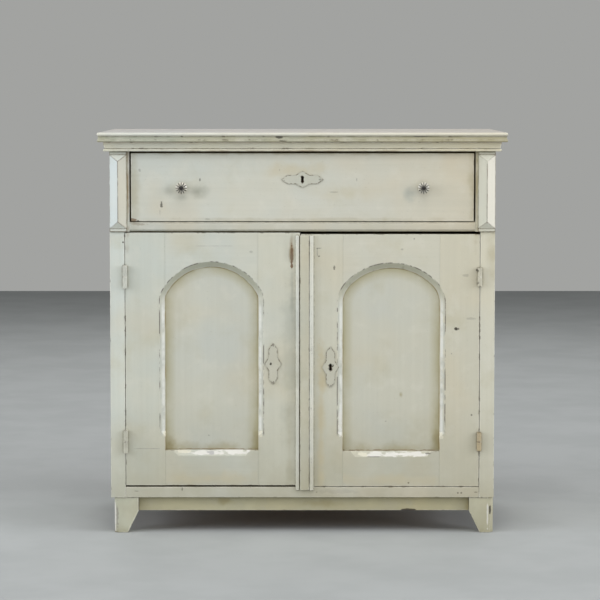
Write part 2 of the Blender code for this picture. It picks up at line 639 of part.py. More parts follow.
def make_drawer_box(parent):
    """Two dovetailed sides, a back between them and a bottom slid into grooves."""
    tip = DRAWER_JOINT - DOVETAIL_LENGTH
    for side, sign in SIDES.items():
        edge = []
        for low, high, tip_low, tip_high in dovetails(0.0):
            edge += [(DRAWER_JOINT + SEAT_GAP, low), (tip, tip_low), (tip, tip_high),
                     (DRAWER_JOINT + SEAT_GAP, high)]
        corners = ([(DRAWER_JOINT + SEAT_GAP, DRAWER_LOW)] + edge
                   + [(DRAWER_JOINT + SEAT_GAP, DRAWER_WALL_TOP), (DRAWER_REAR, DRAWER_WALL_TOP),
                      (DRAWER_REAR, DRAWER_LOW)])
        outline = [(sign * DRAWER_INNER, y, z) for y, z in corners]
        wall = make_object(f"drawer_{side}_side", prism_bmesh(outline, (sign * DRAWER_WALL, 0, 0)),
                           PINE, parent)
        groove = sorted([sign * (DRAWER_INNER - CUT_SPARE), sign * (DRAWER_INNER + DRAWER_GROOVE)])
        combine(wall, box_bmesh((groove[0], DRAWER_JOINT, DRAWER_PANEL_LOW - SEAT_GAP),
                                (groove[1], DRAWER_REAR + CUT_SPARE, DRAWER_PANEL_TOP + SEAT_GAP)))
    half = DRAWER_INNER - SEAT_GAP
    make_object("drawer_back", box_bmesh((-half, DRAWER_REAR - DRAWER_WALL, DRAWER_PANEL_TOP + SEAT_GAP),
                                         (half, DRAWER_REAR, DRAWER_WALL_TOP)), PINE, parent)
    wide = DRAWER_INNER + DRAWER_GROOVE - SEAT_GAP
    shoulder = DRAWER_JOINT + 2 * SEAT_GAP
    nose = DRAWER_JOINT - DRAWER_GROOVE
    right = [(half, nose), (half, shoulder), (wide, shoulder), (wide, DRAWER_REAR)]
    outline = [(x, y, DRAWER_PANEL_LOW) for x, y in right + [(-x, y) for x, y in reversed(right)]]
    make_object("drawer_bottom", prism_bmesh(outline, (0, 0, DRAWER_BOTTOM_THICKNESS)), PINE, parent)


def make_knob(side, sign, parent):
    """A turned knob with a domed head and a shank in the drawer front."""
    head = arc((0, 0), 1.0, -50, 90, 9)
    centre = KNOB_REACH - KNOB_HEAD_HALF
    profile = [(0, -KNOB_SHANK_LENGTH), (KNOB_SHANK_RADIUS, -KNOB_SHANK_LENGTH),
               (KNOB_SHANK_RADIUS, SEAT_GAP), (KNOB_FOOT_RADIUS, SEAT_GAP),
               (KNOB_FOOT_RADIUS, KNOB_FOOT_HEIGHT), (KNOB_NECK_RADIUS, 2 * KNOB_FOOT_HEIGHT)]
    profile += [(KNOB_RADIUS * x, centre + KNOB_HEAD_HALF * y) for x, y in head]
    place = Vector((sign * KNOB_HALF_SPACING, DRAWER_FACE, KNOB_HEIGHT))
    bm = bmesh.new()
    verts = [bm.verts.new(place + Vector((out, -reach, 0))) for out, reach in profile]
    edges = [bm.edges.new(pair) for pair in zip(verts, verts[1:])]
    bmesh.ops.spin(bm, geom=verts + edges, cent=place, axis=(0, 1, 0), angle=2 * math.pi,
                   steps=KNOB_SEGMENTS, use_merge=True)
    bmesh.ops.remove_doubles(bm, verts=bm.verts, dist=SEAT_GAP / 3)
    knob = make_object(f"drawer_knob_{side}", bm, HORN, parent)
    knob.data.shade_smooth()
    knob.data.set_sharp_from_angle(angle=math.radians(40))


def make_drawer_lock(parent, bolt_parent):
    """A lock case let into the back of the drawer front, and the bolt that rises from it."""
    low = (-LOCK_WIDTH / 2, LOCK_PLANE, DRAWER_LOCK_LOW)
    high = (LOCK_WIDTH / 2, LOCK_PLANE + LOCK_THICKNESS, DRAWER_HIGH)
    case = make_object("drawer_lock_case", box_bmesh(low, high), IRON, parent)
    bolt_front = LOCK_PLANE + (LOCK_THICKNESS - BOLT_THICKNESS) / 2
    bolt_low = (-BOLT_WIDTH / 2, bolt_front, DRAWER_HIGH - BOLT_LENGTH)
    bolt_high = (BOLT_WIDTH / 2, bolt_front + BOLT_THICKNESS, DRAWER_HIGH - SEAT_GAP)
    combine(case, box_bmesh(*grown(bolt_low, Vector(bolt_high) + Vector((0, 0, CUT_SPARE)))))
    key = (0, LOCK_PLANE - CUT_SPARE, DRAWER_KEY_HEIGHT)
    combine(case, keyhole_bmesh(key, LOCK_KEY_DEPTH + CUT_SPARE))
    make_object("drawer_lock_bolt", box_bmesh(bolt_low, bolt_high), IRON, bolt_parent)
    rise = DRAWER_BOLT_THROW - DRAWER_TOP_GAP + MORTISE_SPARE
    return grown((bolt_low[0], bolt_low[1], DRAWER_HEAD - CUT_SPARE),
                 (bolt_high[0], bolt_high[1], DRAWER_HEAD + rise), MORTISE_SIDE_GAP)


def make_runner(side, sign):
    """A runner under the drawer's side with the guide that keeps the drawer straight."""
    wall = INNER_HALF - SEAT_GAP
    guide = DRAWER_HALF + GUIDE_GAP
    top = DRAWER_LOW - SEAT_GAP
    corners = [(wall, top - RUNNER_HEIGHT), (wall - RUNNER_WIDTH, top - RUNNER_HEIGHT),
               (wall - RUNNER_WIDTH, top), (guide, top), (guide, top + GUIDE_HEIGHT),
               (wall, top + GUIDE_HEIGHT)]
    start = FRONT + RAIL_DEPTH + SEAT_GAP
    outline = [(sign * x, start, z) for x, z in corners]
    make_object(f"{side}_drawer_runner", prism_bmesh(outline, (0, BACK_FACE - SEAT_GAP - start, 0)), PINE)


# Doors
DOOR_BACK = FRONT + DOOR_THICKNESS
GROOVE_FRONT = FRONT + FRONT_LIP - SEAT_GAP
GROOVE_BACK = FRONT + FRONT_LIP + PANEL_THICKNESS + SEAT_GAP
LEFT_MEETING_EDGE = MEETING_LINE - DOOR_MEETING_GAP / 2
RIGHT_MEETING_EDGE = MEETING_LINE + DOOR_MEETING_GAP / 2
DOOR_KEY_HEIGHT = {side: RAIL_TOP + DOOR_BOTTOM_GAP[side] + DOOR_KEY_RISE[side] for side in SIDES}


def door_plan(side):
    """The edges, levels and arch of one door."""
    sign = SIDES[side]
    plan = SimpleNamespace(side=side, sign=sign)
    plan.low = RAIL_TOP + DOOR_BOTTOM_GAP[side]
    plan.high = DRAWER_RAIL - DOOR_TOP_GAP[side]
    plan.hinge_edge = sign * (DOOR_JAMB - DOOR_SIDE_GAP)
    plan.meeting_edge = MEETING_LINE + sign * DOOR_MEETING_GAP / 2
    plan.hinge_inner = plan.hinge_edge - sign * HINGE_STILE
    plan.meeting_inner = plan.meeting_edge + sign * MEETING_STILE
    plan.span = sorted([plan.hinge_inner, plan.meeting_inner])
    plan.sill = plan.low + DOOR_BOTTOM_RAIL
    plan.crown = plan.high - DOOR_TOP_RAIL
    plan.spring = plan.crown - ARCH_RISE[side]
    plan.rails = {"top": (plan.spring + ARCH_BLUNT, plan.high), "bottom": (plan.low, plan.sill)}
    plan.middle = sum(plan.span) / 2
    plan.shoulder = ARCH_SHOULDER[side]
    plan.offset = (plan.span[1] - plan.span[0]) / 2 - plan.shoulder
    spare_rise = ARCH_RISE[side] - plan.shoulder
    plan.drop = (plan.offset ** 2 - spare_rise ** 2) / (2 * spare_rise)
    plan.radius = ARCH_RISE[side] + plan.drop
    return plan


def add_chamfer(bm, start, end, across, fades):
    """A sloping cut along an edge of the door's face, faded to nothing at an end that has a fade."""
    start = Vector(start)
    end = Vector(end)
    run = (end - start).normalized()
    wide = Vector(across) * CHAMFER_WIDTH
    deep = Vector((0, CHAMFER_DEPTH, 0))
    points = []
    for place, inward, fade in ((start, run, fades[0]), (end, -run, fades[1])):
        if fade:
            points.append(place)
        full = place + inward * fade
        points += [full + wide + CUT_OVERRUN * (wide - deep), full + deep + CUT_OVERRUN * (deep - wide),
                   full - CUT_OVERRUN * (wide + deep)]
    add_hull(bm, points)


def arch_outline(plan, spread):
    """The arch widened by spread: a small arc at each shoulder and a flatter arc over the crown."""
    meet = math.degrees(math.atan2(plan.drop, plan.offset))
    shoulder = plan.shoulder + spread
    right = arc((plan.middle + plan.offset, plan.spring), shoulder, 0, meet, ARCH_SHOULDER_SEGMENTS)
    crown = arc((plan.middle, plan.spring - plan.drop), plan.radius + spread, meet, 180 - meet,
                ARCH_CROWN_SEGMENTS)
    left = arc((plan.middle - plan.offset, plan.spring), shoulder, 180 - meet, 180, ARCH_SHOULDER_SEGMENTS)
    return right[:-1] + crown + left[1:]


def arch_tool(plan, through):
    """The tool that bevels the arch's front edge and, if it goes through, cuts the opening behind it."""
    reach = CUT_OVERRUN * CHAMFER_DEPTH
    sections = [(FRONT - reach, CHAMFER_WIDTH * (1 + CUT_OVERRUN))]
    if through:
        sections += [(FRONT + CHAMFER_DEPTH, 0.0), (DOOR_BACK + CUT_SPARE, 0.0)]
    else:
        sections.append((FRONT + CHAMFER_DEPTH + reach, -CUT_OVERRUN * CHAMFER_WIDTH))
    bm = bmesh.new()
    loops = []
    for y, spread in sections:
        ring = [bm.verts.new((x, y, z)) for x, z in arch_outline(plan, spread)]
        loops += [bm.edges.new((ring[index - 1], ring[index])) for index in range(len(ring))]
    bmesh.ops.bridge_loops(bm, edges=loops)
    bmesh.ops.holes_fill(bm, edges=[edge for edge in bm.edges if edge.is_boundary])
    return bm


def make_door_stile(plan, kind, parent):
    """An upright of the door, mortised for both rails, grooved for the panel and bevelled."""
    edge = plan.hinge_edge if kind == "hinge" else plan.meeting_edge
    inner = plan.hinge_inner if kind == "hinge" else plan.meeting_inner
    into = 1 if edge > inner else -1
    span = sorted([edge, inner])
    stile = make_object(f"{plan.side}_door_{kind}_stile",
                        box_bmesh((span[0], FRONT, plan.low), (span[1], DOOR_BACK, plan.high)), PAINT, parent)
    mortises = bmesh.new()
    reach = sorted([inner - into * CUT_SPARE, inner + into * DOOR_TENON_LENGTH])
    for low, high in plan.rails.values():
        add_box(mortises, *grown((reach[0], FRONT + DOOR_TENON_SHOULDER, low + DOOR_TENON_SHOULDER),
                                 (reach[1], DOOR_BACK - DOOR_TENON_SHOULDER, high - DOOR_TENON_SHOULDER)))
    combine(stile, mortises)
    groove = sorted([inner - into * CUT_SPARE, inner + into * PANEL_GROOVE])
    combine(stile, box_bmesh((groove[0], GROOVE_FRONT, plan.sill - PANEL_GROOVE),
                             (groove[1], GROOVE_BACK, plan.crown + PANEL_GROOVE)))
    bevel = bmesh.new()
    chamfer_foot = (inner, FRONT, plan.sill + SIDE_CHAMFER_RISE)
    chamfer_head = (inner, FRONT, plan.spring)
    add_chamfer(bevel, chamfer_foot, chamfer_head, (into, 0, 0), (CHAMFER_STOP, 0))
    combine(stile, bevel)
    combine(stile, arch_tool(plan, False))
    return stile


def make_door_rail(plan, kind, parent):
    """A cross rail of the door with a tenon drawn out of each end."""
    low, high = plan.rails[kind]
    bm = box_bmesh((plan.span[0] + SEAT_GAP, FRONT, low), (plan.span[1] - SEAT_GAP, DOOR_BACK, high))
    bm.normal_update()
    for end in [face for face in bm.faces if abs(face.normal.x) > 0.5]:
        outward = end.normal.copy()
        bmesh.ops.inset_region(bm, faces=[end], thickness=DOOR_TENON_SHOULDER, use_even_offset=True)
        swept = bmesh.ops.extrude_face_region(bm, geom=[end])["geom"]
        bmesh.ops.delete(bm, geom=[end], context="FACES_ONLY")
        tip = [item for item in swept if isinstance(item, bmesh.types.BMVert)]
        bmesh.ops.translate(bm, verts=tip, vec=outward * DOOR_TENON_LENGTH)
    rail = make_object(f"{plan.side}_door_{kind}_rail", bm, PAINT, parent)
    slot_low = (plan.span[0] - PANEL_GROOVE, GROOVE_FRONT)
    slot_high = (plan.span[1] + PANEL_GROOVE, GROOVE_BACK)
    if kind == "bottom":
        bevel = bmesh.new()
        add_chamfer(bevel, (plan.span[0] + SILL_CHAMFER_INSET, FRONT, plan.sill),
                    (plan.span[1] - SILL_CHAMFER_INSET, FRONT, plan.sill), (0, 0, -1),
                    (CHAMFER_STOP, CHAMFER_STOP))
        combine(rail, bevel)
        combine(rail, box_bmesh((*slot_low, plan.sill - PANEL_GROOVE), (*slot_high, plan.sill + CUT_SPARE)))
        return rail
    combine(rail, arch_tool(plan, True))
    combine(rail, box_bmesh((*slot_low, low - CUT_SPARE), (*slot_high, plan.crown + PANEL_GROOVE)))
    return rail


def make_door_panel(plan, parent):
    """A flat panel held loose in the grooves of the frame."""
    reach = PANEL_GROOVE - PANEL_PLAY
    low = (plan.span[0] - reach, FRONT + FRONT_LIP, plan.sill - reach)
    high = (plan.span[1] + reach, FRONT + FRONT_LIP + PANEL_THICKNESS, plan.crown + reach)
    make_object(f"{plan.side}_door_panel", box_bmesh(low, high), PAINT, parent)


def make_strip(plan, parent):
    """The moulding along the meeting edge: a bead on the left door, a flat and a bead on the right."""
    if plan.side == "left":
        name = "left_door_bead"
        start = LEFT_BEAD_INSET
        width, proud = LEFT_BEAD_WIDTH, LEFT_BEAD_PROUD
        flat = []
    else:
        name = "right_door_astragal"
        start = ASTRAGAL_WIDTH
        width, proud = ASTRAGAL_BEAD_WIDTH, ASTRAGAL_BEAD_PROUD
        flat = [(start, ASTRAGAL_PROUD), (0.0, ASTRAGAL_PROUD), (0.0, 0.0)]
    round_top = arc((0, 0), 1.0, 0, 180, STRIP_SEGMENTS)
    bead = [(start + width / 2 + width / 2 * x, proud * y) for x, y in round_top]
    section = bead[:-1] + flat if flat else bead
    low = RAIL_TOP - STRIP_BOTTOM_DROP
    outline = [(plan.meeting_edge + plan.sign * out, FRONT - SEAT_GAP - forward, low)
               for out, forward in section]
    bm = prism_bmesh(outline, (0, 0, DRAWER_RAIL - STRIP_TOP_DROP - low))
    ends = [edge for edge in bm.edges if abs(edge.verts[0].co.z - edge.verts[1].co.z) < SEAT_GAP
            and min(vert.co.y for vert in edge.verts) < FRONT - 2 * SEAT_GAP]
    bmesh.ops.bevel(bm, geom=ends, offset=STRIP_END_ROUND, affect="EDGES", segments=2, profile=0.5,
                    material=-1, clamp_overlap=True)
    make_object(name, bm, PAINT, parent)


# Hinges
HINGE_LINE = FRONT - HINGE_RADIUS - SEAT_GAP
HINGE_LEVELS = {"upper": DRAWER_RAIL - HINGE_DROP, "lower": RAIL_TOP + HINGE_RISE}


def hinge_half(name, plan, outward, low, high, parent):
    """Half a lift-off hinge: a barrel and its leaf, in one outline drawn from above."""
    axis = plan.hinge_edge + plan.sign * DOOR_SIDE_GAP / 2
    near = DOOR_SIDE_GAP / 2
    far = near + HINGE_LEAF
    first = math.degrees(math.acos(near / HINGE_RADIUS))
    last = 360 + math.degrees(math.acos(far / HINGE_RADIUS))
    rear = FRONT + HINGE_LEAF_DEPTH - HINGE_LINE
    section = arc((0, 0), HINGE_RADIUS, first, last, HINGE_SEGMENTS) + [(far, rear), (near, rear)]
    outline = [(axis + outward * x, HINGE_LINE + y, low) for x, y in section]
    return make_object(name, prism_bmesh(outline, (0, 0, high - low)), PAINTED_IRON, parent)


def leaf_recess(edge, into, low, high):
    """The shallow bed for a hinge leaf in an upright edge."""
    span = sorted([edge - into * CUT_SPARE, edge + into * HINGE_LEAF])
    return box_bmesh(*grown((span[0], FRONT - CUT_SPARE, low), (span[1], FRONT + HINGE_LEAF_DEPTH, high)))


def make_hinges(plan, frame_stile, door_stile, parent):
    """Two hinges: the lower half with the pin on the carcass, the upper half on the door."""
    axis = plan.hinge_edge + plan.sign * DOOR_SIDE_GAP / 2
    half = HINGE_HEIGHT[plan.side] / 2
    for place, level in HINGE_LEVELS.items():
        fixed = hinge_half(f"{plan.side}_hinge_frame_{place}", plan, plan.sign, level - half,
                           level - SEAT_GAP / 2, None)
        pin = bmesh.new()
        add_cylinder(pin, (axis, HINGE_LINE, level - half / 2),
                     (axis, HINGE_LINE, level + half - HINGE_CAP - MORTISE_SIDE_GAP),
                     HINGE_PIN_RADIUS, HINGE_SEGMENTS)
        combine(fixed, pin, "UNION")
        moving = hinge_half(f"{plan.side}_door_hinge_{place}", plan, -plan.sign, level + SEAT_GAP / 2,
                            level + half, parent)
        bore = bmesh.new()
        add_cylinder(bore, (axis, HINGE_LINE, level - CUT_SPARE),
                     (axis, HINGE_LINE, level + half - HINGE_CAP),
                     HINGE_PIN_RADIUS + HINGE_PIN_GAP, HINGE_SEGMENTS)
        combine(moving, bore)
        combine(frame_stile, leaf_recess(plan.sign * DOOR_JAMB, plan.sign, level - half, level))
        combine(door_stile, leaf_recess(plan.hinge_edge, -plan.sign, level, level + half))


# Door lock and slide bolt
DOOR_LOCK_PLANE = DOOR_BACK - LOCK_BED
DOOR_BOLT_FRONT = DOOR_LOCK_PLANE + (LOCK_THICKNESS - BOLT_THICKNESS) / 2


def make_door_lock(left_stile, right_stile, parent, bolt_parent):
    """A lock let into the back of the right door, its bolt shooting into the left door's edge."""
    key_x = RIGHT_MEETING_EDGE + DOOR_KEY_INSET["right"]
    key_z = DOOR_KEY_HEIGHT["right"]
    low = (RIGHT_MEETING_EDGE, DOOR_LOCK_PLANE, key_z - LOCK_WIDTH / 2)
    high = (key_x + LOCK_MARGIN, DOOR_LOCK_PLANE + LOCK_THICKNESS, key_z + LOCK_WIDTH / 2)
    spare = Vector((CUT_SPARE, 0, 0))
    rear = Vector((0, CUT_SPARE, 0))
    combine(right_stile, box_bmesh(*grown(Vector(low) - spare, Vector(high) + rear)))
    combine(right_stile, keyhole_bmesh((key_x, FRONT - CUT_SPARE, key_z), DOOR_THICKNESS + CUT_SPARE))
    case = make_object("right_door_lock_case", box_bmesh(low, high), IRON, parent)
    bolt_low = Vector((RIGHT_MEETING_EDGE + SEAT_GAP, DOOR_BOLT_FRONT, key_z - BOLT_WIDTH / 2))
    bolt_high = bolt_low + Vector((BOLT_LENGTH, BOLT_THICKNESS, BOLT_WIDTH))
    combine(case, box_bmesh(*grown(bolt_low - spare, bolt_high)))
    combine(case, keyhole_bmesh((key_x, DOOR_LOCK_PLANE - CUT_SPARE, key_z), LOCK_KEY_DEPTH + CUT_SPARE))
    make_object("right_door_lock_bolt", box_bmesh(bolt_low, bolt_high), IRON, bolt_parent)
    depth = DOOR_BOLT_THROW - DOOR_MEETING_GAP + MORTISE_SPARE
    combine(left_stile, box_bmesh(*grown((LEFT_MEETING_EDGE - depth, bolt_low.y, bolt_low.z),
                                         (LEFT_MEETING_EDGE + CUT_SPARE, bolt_high.y, bolt_high.z),
                                         MORTISE_SIDE_GAP)))


def make_slide_bolt(plan, drawer_rail, parent, bolt_parent):
    """A bolt in a folded guide on the back of the left door, pushed up into the drawer rail."""
    middle = plan.meeting_edge + plan.sign * SLIDE_BOLT_INSET
    seat = DOOR_BACK + SEAT_GAP
    half = SLIDE_BOLT_WIDTH / 2 + SEAT_GAP
    deep = SLIDE_BOLT_THICKNESS + 2 * SEAT_GAP
    outer = half + GUIDE_WALL
    right = [(half, 0.0), (outer + GUIDE_FLANGE, 0.0), (outer + GUIDE_FLANGE, GUIDE_WALL),
             (outer, GUIDE_WALL), (outer, deep + GUIDE_WALL)]
    left = [(-x, y) for x, y in reversed(right)]
    channel = [(-half, deep), (half, deep)]
    tip = plan.high - SLIDE_BOLT_DROP
    guide_low = tip - SLIDE_BOLT_LENGTH / 2 - GUIDE_LENGTH / 2
    outline = [(middle + x, seat + y, guide_low) for x, y in right + left + channel]
    guide = make_object("left_door_bolt_plate", prism_bmesh(outline, (0, 0, GUIDE_LENGTH)), IRON, parent)
    knob_z = guide_low + GUIDE_LENGTH / 2 - SLIDE_BOLT_THROW / 2
    slot = grown((middle - SLIDE_KNOB_RADIUS, seat + SLIDE_BOLT_THICKNESS, knob_z - SLIDE_KNOB_RADIUS),
                 (middle + SLIDE_KNOB_RADIUS, seat + SLIDE_BOLT_THICKNESS + CUT_SPARE,
                  knob_z + SLIDE_BOLT_THROW + SLIDE_KNOB_RADIUS))
    combine(guide, box_bmesh(*slot))
    bolt_low = (middle - SLIDE_BOLT_WIDTH / 2, seat + SEAT_GAP, tip - SLIDE_BOLT_LENGTH)
    bolt_high = (middle + SLIDE_BOLT_WIDTH / 2, seat + SEAT_GAP + SLIDE_BOLT_THICKNESS, tip)
    bolt = make_object("left_door_slide_bolt", box_bmesh(bolt_low, bolt_high), IRON, bolt_parent)
    knob = bmesh.new()
    add_cylinder(knob, (middle, seat + SLIDE_BOLT_THICKNESS / 2, knob_z),
                 (middle, bolt_high[1] + SLIDE_KNOB_REACH, knob_z), SLIDE_KNOB_RADIUS, HINGE_SEGMENTS)
    combine(bolt, knob, "UNION")
    rise = SLIDE_BOLT_THROW - SLIDE_BOLT_DROP - DOOR_TOP_GAP["left"] + MORTISE_SPARE
    mortise_low = (bolt_low[0], bolt_low[1], DRAWER_RAIL - CUT_SPARE)
    mortise_high = (bolt_high[0], bolt_high[1], DRAWER_RAIL + rise)
    combine(drawer_rail, box_bmesh(*grown(mortise_low, mortise_high, MORTISE_SIDE_GAP)))


# The whole cabinet
make_top_board()
make_cornice()
make_shelves()
make_back()
make_apron()
stiles = {}
for side, sign in SIDES.items():
    stiles[side] = make_stile(side, sign)
    make_side(side, sign)
    make_corner_block(side, sign)
    make_runner(side, sign)
    for row in ("front", "back"):
        make_foot(row, side)
top_rail = make_frame_rail("top_front_rail", DRAWER_JAMB, RAIL_DEPTH, DRAWER_HEAD, TOP_SEAT)
drawer_rail = make_frame_rail("drawer_rail", DRAWER_JAMB, RAIL_DEPTH, DRAWER_RAIL, DRAWER_SILL, RAIL_NOSE)
make_frame_rail("bottom_rail", DOOR_JAMB, STILE_THICKNESS, FOOT_HEIGHT, RAIL_TOP)

drawer_axis = make_axis("drawer_slide", (0, DRAWER_FACE, DRAWER_LOW))
drawer_bolt_axis = make_axis("drawer_lock_bolt_slide", (0, LOCK_PLANE, DRAWER_HIGH))
make_drawer_front(drawer_axis)
make_drawer_box(drawer_axis)
for side, sign in SIDES.items():
    make_knob(side, sign, drawer_axis)
make_escutcheon("drawer_escutcheon", (0, DRAWER_FACE, DRAWER_KEY_HEIGHT), False, drawer_axis)
combine(top_rail, box_bmesh(*make_drawer_lock(drawer_axis, drawer_bolt_axis)))

plans = {side: door_plan(side) for side in SIDES}
door_axes = {}
meeting_stiles = {}
for side, plan in plans.items():
    axis_x = plan.hinge_edge + plan.sign * DOOR_SIDE_GAP / 2
    door_axes[side] = make_axis(f"{side}_door_hinge_line", (axis_x, HINGE_LINE, plan.low))
    door_stile = make_door_stile(plan, "hinge", door_axes[side])
    meeting_stiles[side] = make_door_stile(plan, "meeting", door_axes[side])
    make_door_rail(plan, "top", door_axes[side])
    make_door_rail(plan, "bottom", door_axes[side])
    make_door_panel(plan, door_axes[side])
    make_strip(plan, door_axes[side])
    make_hinges(plan, stiles[side], door_stile, door_axes[side])
    key_x = plan.meeting_edge + plan.sign * DOOR_KEY_INSET[side]
    make_escutcheon(f"{side}_door_escutcheon", (key_x, FRONT, DOOR_KEY_HEIGHT[side]), True, door_axes[side],
                    side == "right")
lock_axis = make_axis("right_door_lock_bolt_slide",
                      (RIGHT_MEETING_EDGE, DOOR_BOLT_FRONT, DOOR_KEY_HEIGHT["right"]))
make_door_lock(meeting_stiles["left"], meeting_stiles["right"], door_axes["right"], lock_axis)
bolt_x = LEFT_MEETING_EDGE - SLIDE_BOLT_INSET
bolt_axis = make_axis("left_door_slide_bolt_slide", (bolt_x, DOOR_BACK, plans["left"].high))
make_slide_bolt(plans["left"], drawer_rail, door_axes["left"], bolt_axis)
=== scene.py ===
# %% [markdown]
# # A painted pine sideboard
#
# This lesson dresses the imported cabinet: a wide drawer over a pair of doors with arched panels. The real
# one is old pine under several coats of pale sage paint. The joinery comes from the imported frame. Here
# each piece gets soft edges, its own wear and a material with paint, dirt and chips.

# %% Load the frame
import json
import math

import bmesh
import bpy
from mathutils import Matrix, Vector


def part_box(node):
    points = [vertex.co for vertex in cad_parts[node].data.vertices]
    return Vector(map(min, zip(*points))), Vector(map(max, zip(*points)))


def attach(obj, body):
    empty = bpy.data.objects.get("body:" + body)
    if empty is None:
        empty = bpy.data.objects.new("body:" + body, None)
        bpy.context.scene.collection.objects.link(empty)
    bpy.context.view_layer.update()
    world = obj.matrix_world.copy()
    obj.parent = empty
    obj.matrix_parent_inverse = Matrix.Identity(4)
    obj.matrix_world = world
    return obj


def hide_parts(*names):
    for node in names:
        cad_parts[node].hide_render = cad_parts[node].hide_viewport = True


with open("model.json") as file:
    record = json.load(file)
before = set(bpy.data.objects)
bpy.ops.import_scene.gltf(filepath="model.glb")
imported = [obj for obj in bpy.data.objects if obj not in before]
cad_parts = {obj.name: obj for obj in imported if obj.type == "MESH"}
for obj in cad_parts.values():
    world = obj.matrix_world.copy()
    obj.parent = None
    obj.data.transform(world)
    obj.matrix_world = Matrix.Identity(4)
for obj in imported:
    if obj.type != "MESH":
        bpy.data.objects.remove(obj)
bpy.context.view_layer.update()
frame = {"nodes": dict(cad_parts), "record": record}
nodes = frame["nodes"]
body_of_node = {node: body for body, members in frame["record"]["behaviour"]["bodies"].items()
                for node in members}

# %% [markdown]
# ## Planes of the front
#
# Wear sits at known places on the real cabinet: on the front plane, under the edge of the top, round the
# middle of a knob. These places could be typed in again, but reading them from the frame keeps them true.

# %% Planes and levels
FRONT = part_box("bottom_rail")[0].y
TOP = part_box("top_board")[1].z
KNOBS = [sum(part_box(f"drawer_knob_{side}"), Vector()) / 2 for side in ("left", "right")]
print("front plane at y =", round(FRONT, 4), "top at z =", round(TOP, 4))


# %% [markdown]
# ## Small tools for materials
#
# Every finish here is a tree of nodes. One function turns an sRGB hex colour into linear values, and one
# adds a node with its settings and links. Inputs are given by name or number: on a Map Range node 0 is
# the value, 1 and 2 the range that comes in, 3 and 4 the range that goes out. Two more functions say what
# a painter sees. The mask lumps is a field of soft blotches, with their size in millimetres on the real
# object, and lay puts one colour over another where all its masks allow. The last one starts a material.

# %% Material tools
def linear(code):
    """An sRGB hex colour as linear red, green, blue and alpha."""
    channels = [int(code[index:index + 2], 16) / 255 for index in (1, 3, 5)]
    return [c / 12.92 if c <= 0.04045 else ((c + 0.055) / 1.055) ** 2.4 for c in channels] + [1.0]


def add(tree, kind, inputs=None, **settings):
    """Add a node with its settings; each input is a socket to link, a hex colour or a plain value."""
    node = tree.nodes.new("ShaderNode" + kind)
    for name, value in settings.items():
        setattr(node, name, value)
    for socket, value in (inputs or {}).items():
        if isinstance(value, bpy.types.NodeSocket):
            tree.links.new(value, node.inputs[socket])
        else:
            node.inputs[socket].default_value = linear(value) if isinstance(value, str) else value
    return node


def lumps(tree, place, size_mm, low, high, amount=1.0, stretch=(1, 1, 1), detail=3.0, least=0.0):
    """A mask of blotches about size_mm across, drawn out along an axis, from least to amount."""
    scale = [1000 / size_mm / s for s in stretch]
    spread = add(tree, "VectorMath", {0: place, 1: scale}, operation="MULTIPLY").outputs[0]
    grains = {"Vector": spread, "Scale": 1.0, "Detail": detail, "Roughness": 0.6}
    field = add(tree, "TexNoise", grains).outputs[0]
    ramp = {0: field, 1: low, 2: high, 3: least, 4: amount}
    return add(tree, "MapRange", ramp, interpolation_type="SMOOTHSTEP").outputs[0]


def lay(tree, under, over, *masks):
    """One colour over another where every mask allows it."""
    mask = masks[0]
    for other in masks[1:]:
        mask = add(tree, "Math", {0: mask, 1: other}, operation="MULTIPLY").outputs[0]
    return add(tree, "Mix", {0: mask, 6: under, 7: over}, data_type="RGBA").outputs[2]


def start_material(name):
    """A new material with its tree, its shader and the Object coordinates that place its patterns."""
    material = bpy.data.materials.new(name)
    material.use_nodes = True
    tree = material.node_tree
    place = add(tree, "TexCoord").outputs["Object"]
    return material, tree, tree.nodes["Principled BSDF"], place


print("middle grey in linear light:", round(linear("#808080")[0], 3))

# %% [markdown]
# ## Marks of use
#
# The paint has marks that belong to this one cabinet: sills worn through to the white undercoat, a split
# of bare wood beside the left bead, dark nicks, brown grime low in the panels, and painted shadow by the
# knobs and beside the bead. They could be drawn on a picture and wrapped round the cabinet, but then their
# outlines would be only as sharp as that picture. Here each mark is an ellipse on the front, given by its
# colour, the x and z of its middle, its half sizes in metres and its strength. The marks are kept apart by
# the paint that they lie on.

# %% Colours of the marks
# White undercoat and older cream paint where the top coat is gone, bare wood, and the dark of a chip.
UNDERCOAT, CREAM, BARE_WOOD, NICK = "#DFDCD4", "#D8D3BF", "#6B4C2E", "#2E271D"
# Soft marks: greasy grime, painted shadow by the knobs and beside the bead, brown wood stain, yellowed
# paint.
GRIME, KNOB_SHADOW, SHADE, UMBER, TAN = "#978A5F", "#ABAFA5", "#9B9D8F", "#85693D", "#C2B797"
# Thin scratches and the greyed patch on a sill.
SMOKE, ASH = "#857E78", "#A9A7A4"
FADED = (GRIME, KNOB_SHADOW, SHADE, UMBER, TAN)
print("soft stains and painted shade:", len(FADED))

